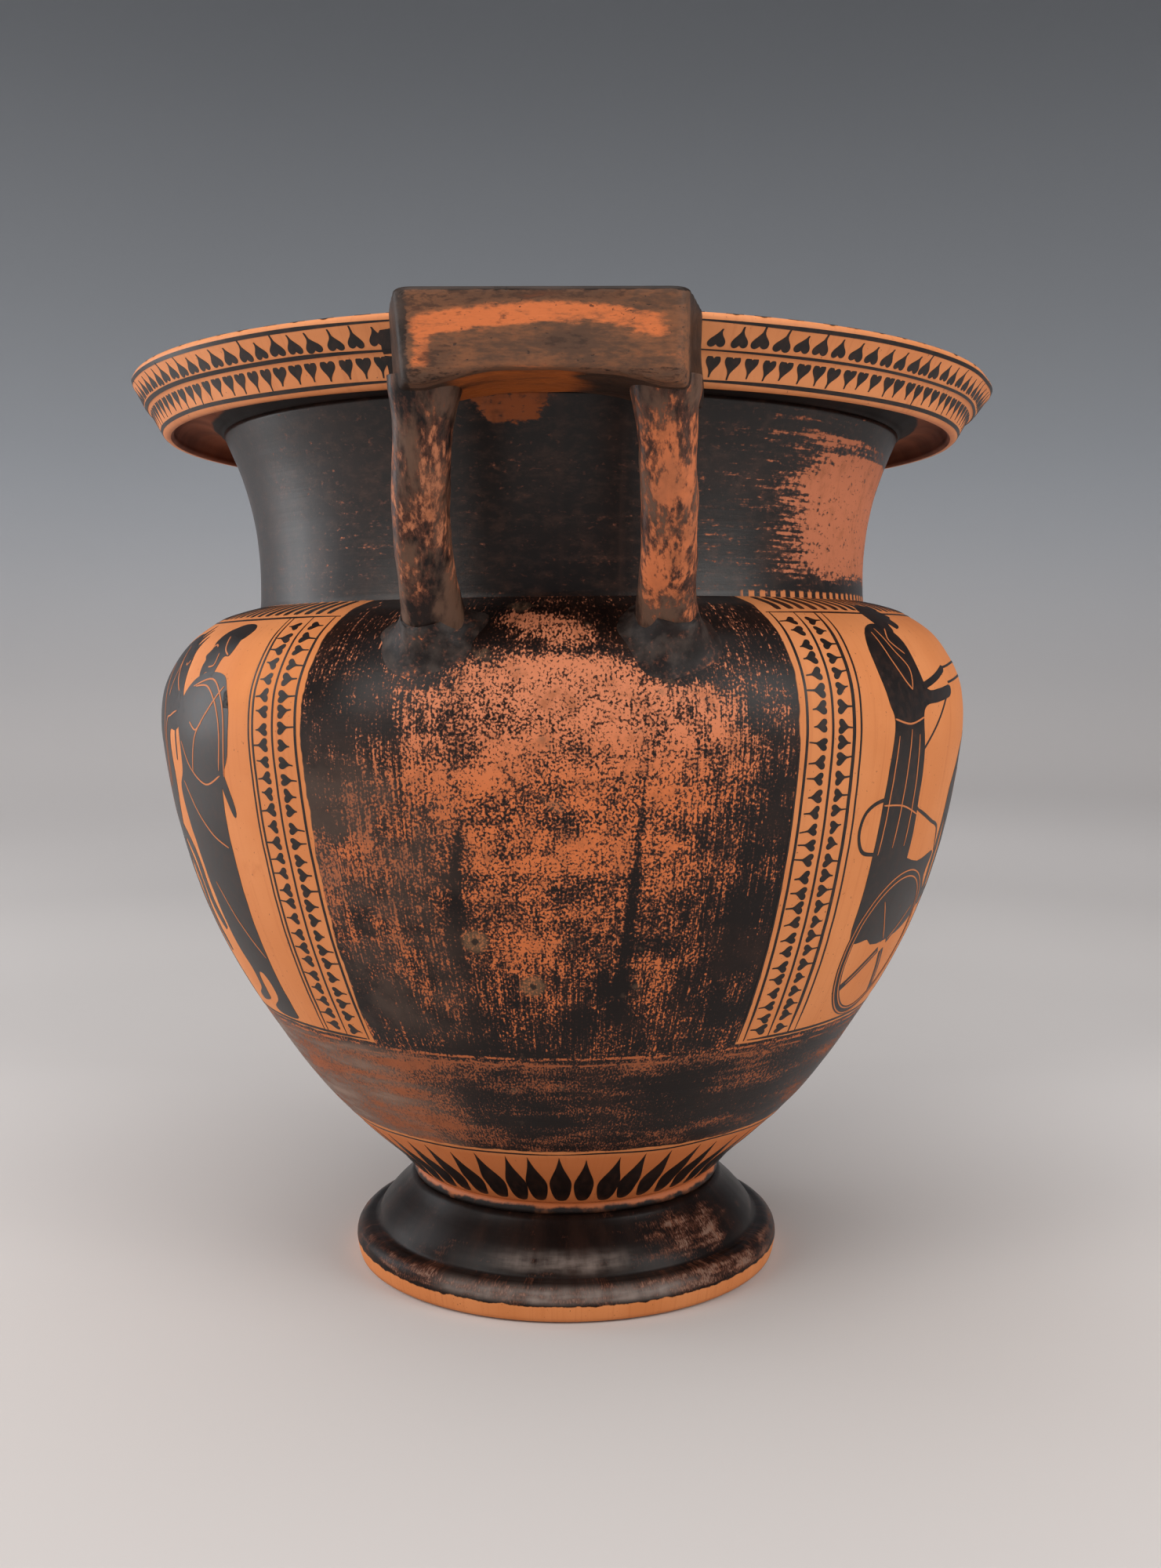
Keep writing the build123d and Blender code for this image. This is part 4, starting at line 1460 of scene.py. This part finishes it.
LIGHTS = [  # (name, place, target, size, power, colour)
    ("key_left", (-1.25, -0.95, 0.95), (0, 0, 0.2), (0.9, 1.2), 17.3, (1, 0.97, 0.93)),
    ("key_right", (1.3, -0.85, 0.85), (0, 0, 0.2), (0.8, 1.1), 16.5, (1, 0.98, 0.95)),
    ("side_left", (-1.45, 0.35, 0.6), (0, 0, 0.22), (0.7, 1.1), 9, (0.97, 0.98, 1)),
    ("overhead", (0, -0.35, 1.7), (0, 0, 0), (1.6, 1.3), 17, (1, 0.98, 0.97)),
]
ROOM_COLOUR = (0.85, 0.9, 1, 1)
ROOM_STRENGTH = 0.22

# The paper's section, as (radius, height), and its painted light and shade, as (millimetres, share)
STAGE_SECTION = [
    (0, 0), (0.9, 0), (1.5, 0.01), (2, 0.10), (2.4, 0.36), (2.6, 0.8), (2.7, 1.6), (2.7, 3.2),
]
STAGE_SIDES = 96
PAPER_WARM = (0.97, 0.92, 0.895)
PAPER_COOL = (0.88, 0.93, 1)
PAINTED_LIGHT_BY_RADIUS = [(0, 0.58), (500, 0.60), (800, 0.66), (1100, 0.72), (1600, 0.84), (3200, 0.84)]
PAINTED_SHADE_BY_HEIGHT = [
    (0, 1), (100, 0.98), (240, 0.88), (400, 0.76), (570, 0.63), (740, 0.53), (1250, 0.36),
    (1700, 0.27), (3300, 0.25),
]
PAINTED_LIGHT_BY_DEPTH = [
    (-700, 0.91), (-230, 0.92), (-60, 0.99), (60, 1.05), (310, 0.97), (560, 0.91), (970, 0.91),
    (1750, 1.01), (2700, 1.04),
]


def add_camera():
    data = bpy.data.cameras.new("camera")
    data.sensor_width = SENSOR_WIDTH
    data.lens = CAMERA_LENS
    data.clip_start, data.clip_end = 0.01, 50
    camera = add_object("camera", data)
    x, y = math.sin(CAMERA_TURN), -math.cos(CAMERA_TURN)
    camera.location = (CAMERA_DISTANCE * x, CAMERA_DISTANCE * y, CAMERA_HEIGHT)
    camera.rotation_euler = (math.radians(90) - CAMERA_PITCH, 0, CAMERA_TURN - CAMERA_YAW)
    bpy.context.scene.camera = camera


def add_light(name, place, target, size, power, colour):
    data = bpy.data.lights.new(name, "AREA")
    data.shape = "RECTANGLE"
    data.size, data.size_y = size
    data.energy = power
    data.color = colour
    light = add_object(name, data)
    light.rotation_mode = "QUATERNION"
    light.location = place
    light.rotation_quaternion = (Vector(target) - Vector(place)).to_track_quat("-Z", "Y")
    light.visible_camera = False


def stage_material():
    """Paper with painted light and shade: its tone changes with the distance from the pot, with height
    and with depth, and it is lighter on the right near the floor.
    """
    s = Surface("stage_paper")
    tint = s.mix(s.z.rise(20, 700), PAPER_WARM, PAPER_COOL)
    # Painted light: lighter on the right near the floor, against the left lamp's shadow
    right = 1.02 - s.x * 0.00009 + 0.19 * s.x.rise(60, 420) * s.z.rise(60, 0)
    tone = s.radius.curve(PAINTED_LIGHT_BY_RADIUS) * s.z.curve(PAINTED_SHADE_BY_HEIGHT) * right * s.y.curve(PAINTED_LIGHT_BY_DEPTH)
    return s.finish(s.mix(tone, (0, 0, 0), tint), 0.9, None, 0.2)


def add_stage():
    """A pale floor that sweeps up all round into a wall painted darker, as painted shade."""
    line = smooth(STAGE_SECTION, 8)[1:]
    verts = []
    for radius, height in line:
        for i in range(STAGE_SIDES):
            a = math.tau * i / STAGE_SIDES
            verts.append((radius * math.sin(a), -radius * math.cos(a), height))
    middle = len(verts)
    verts.append((0, 0, 0))
    faces = []
    for row in range(len(line) - 1):
        faces += band(row * STAGE_SIDES, (row + 1) * STAGE_SIDES, STAGE_SIDES)
    faces += [(i, middle, (i + 1) % STAGE_SIDES) for i in range(STAGE_SIDES)]
    mesh = bpy.data.meshes.new("stage")
    mesh.from_pydata(verts, [], faces)
    mesh.materials.append(stage_material())
    mesh.polygons.foreach_set("use_smooth", [True] * len(faces))
    floor = add_object("stage", mesh)


bpy.context.scene.view_settings.view_transform = "Standard"
add_camera()
add_stage()
for light in LIGHTS:
    add_light(*light)
world = bpy.data.worlds.new("room")
world.use_nodes = True
background = world.node_tree.nodes["Background"]
background.inputs["Color"].default_value = ROOM_COLOUR
background.inputs["Strength"].default_value = ROOM_STRENGTH
bpy.context.scene.world = world
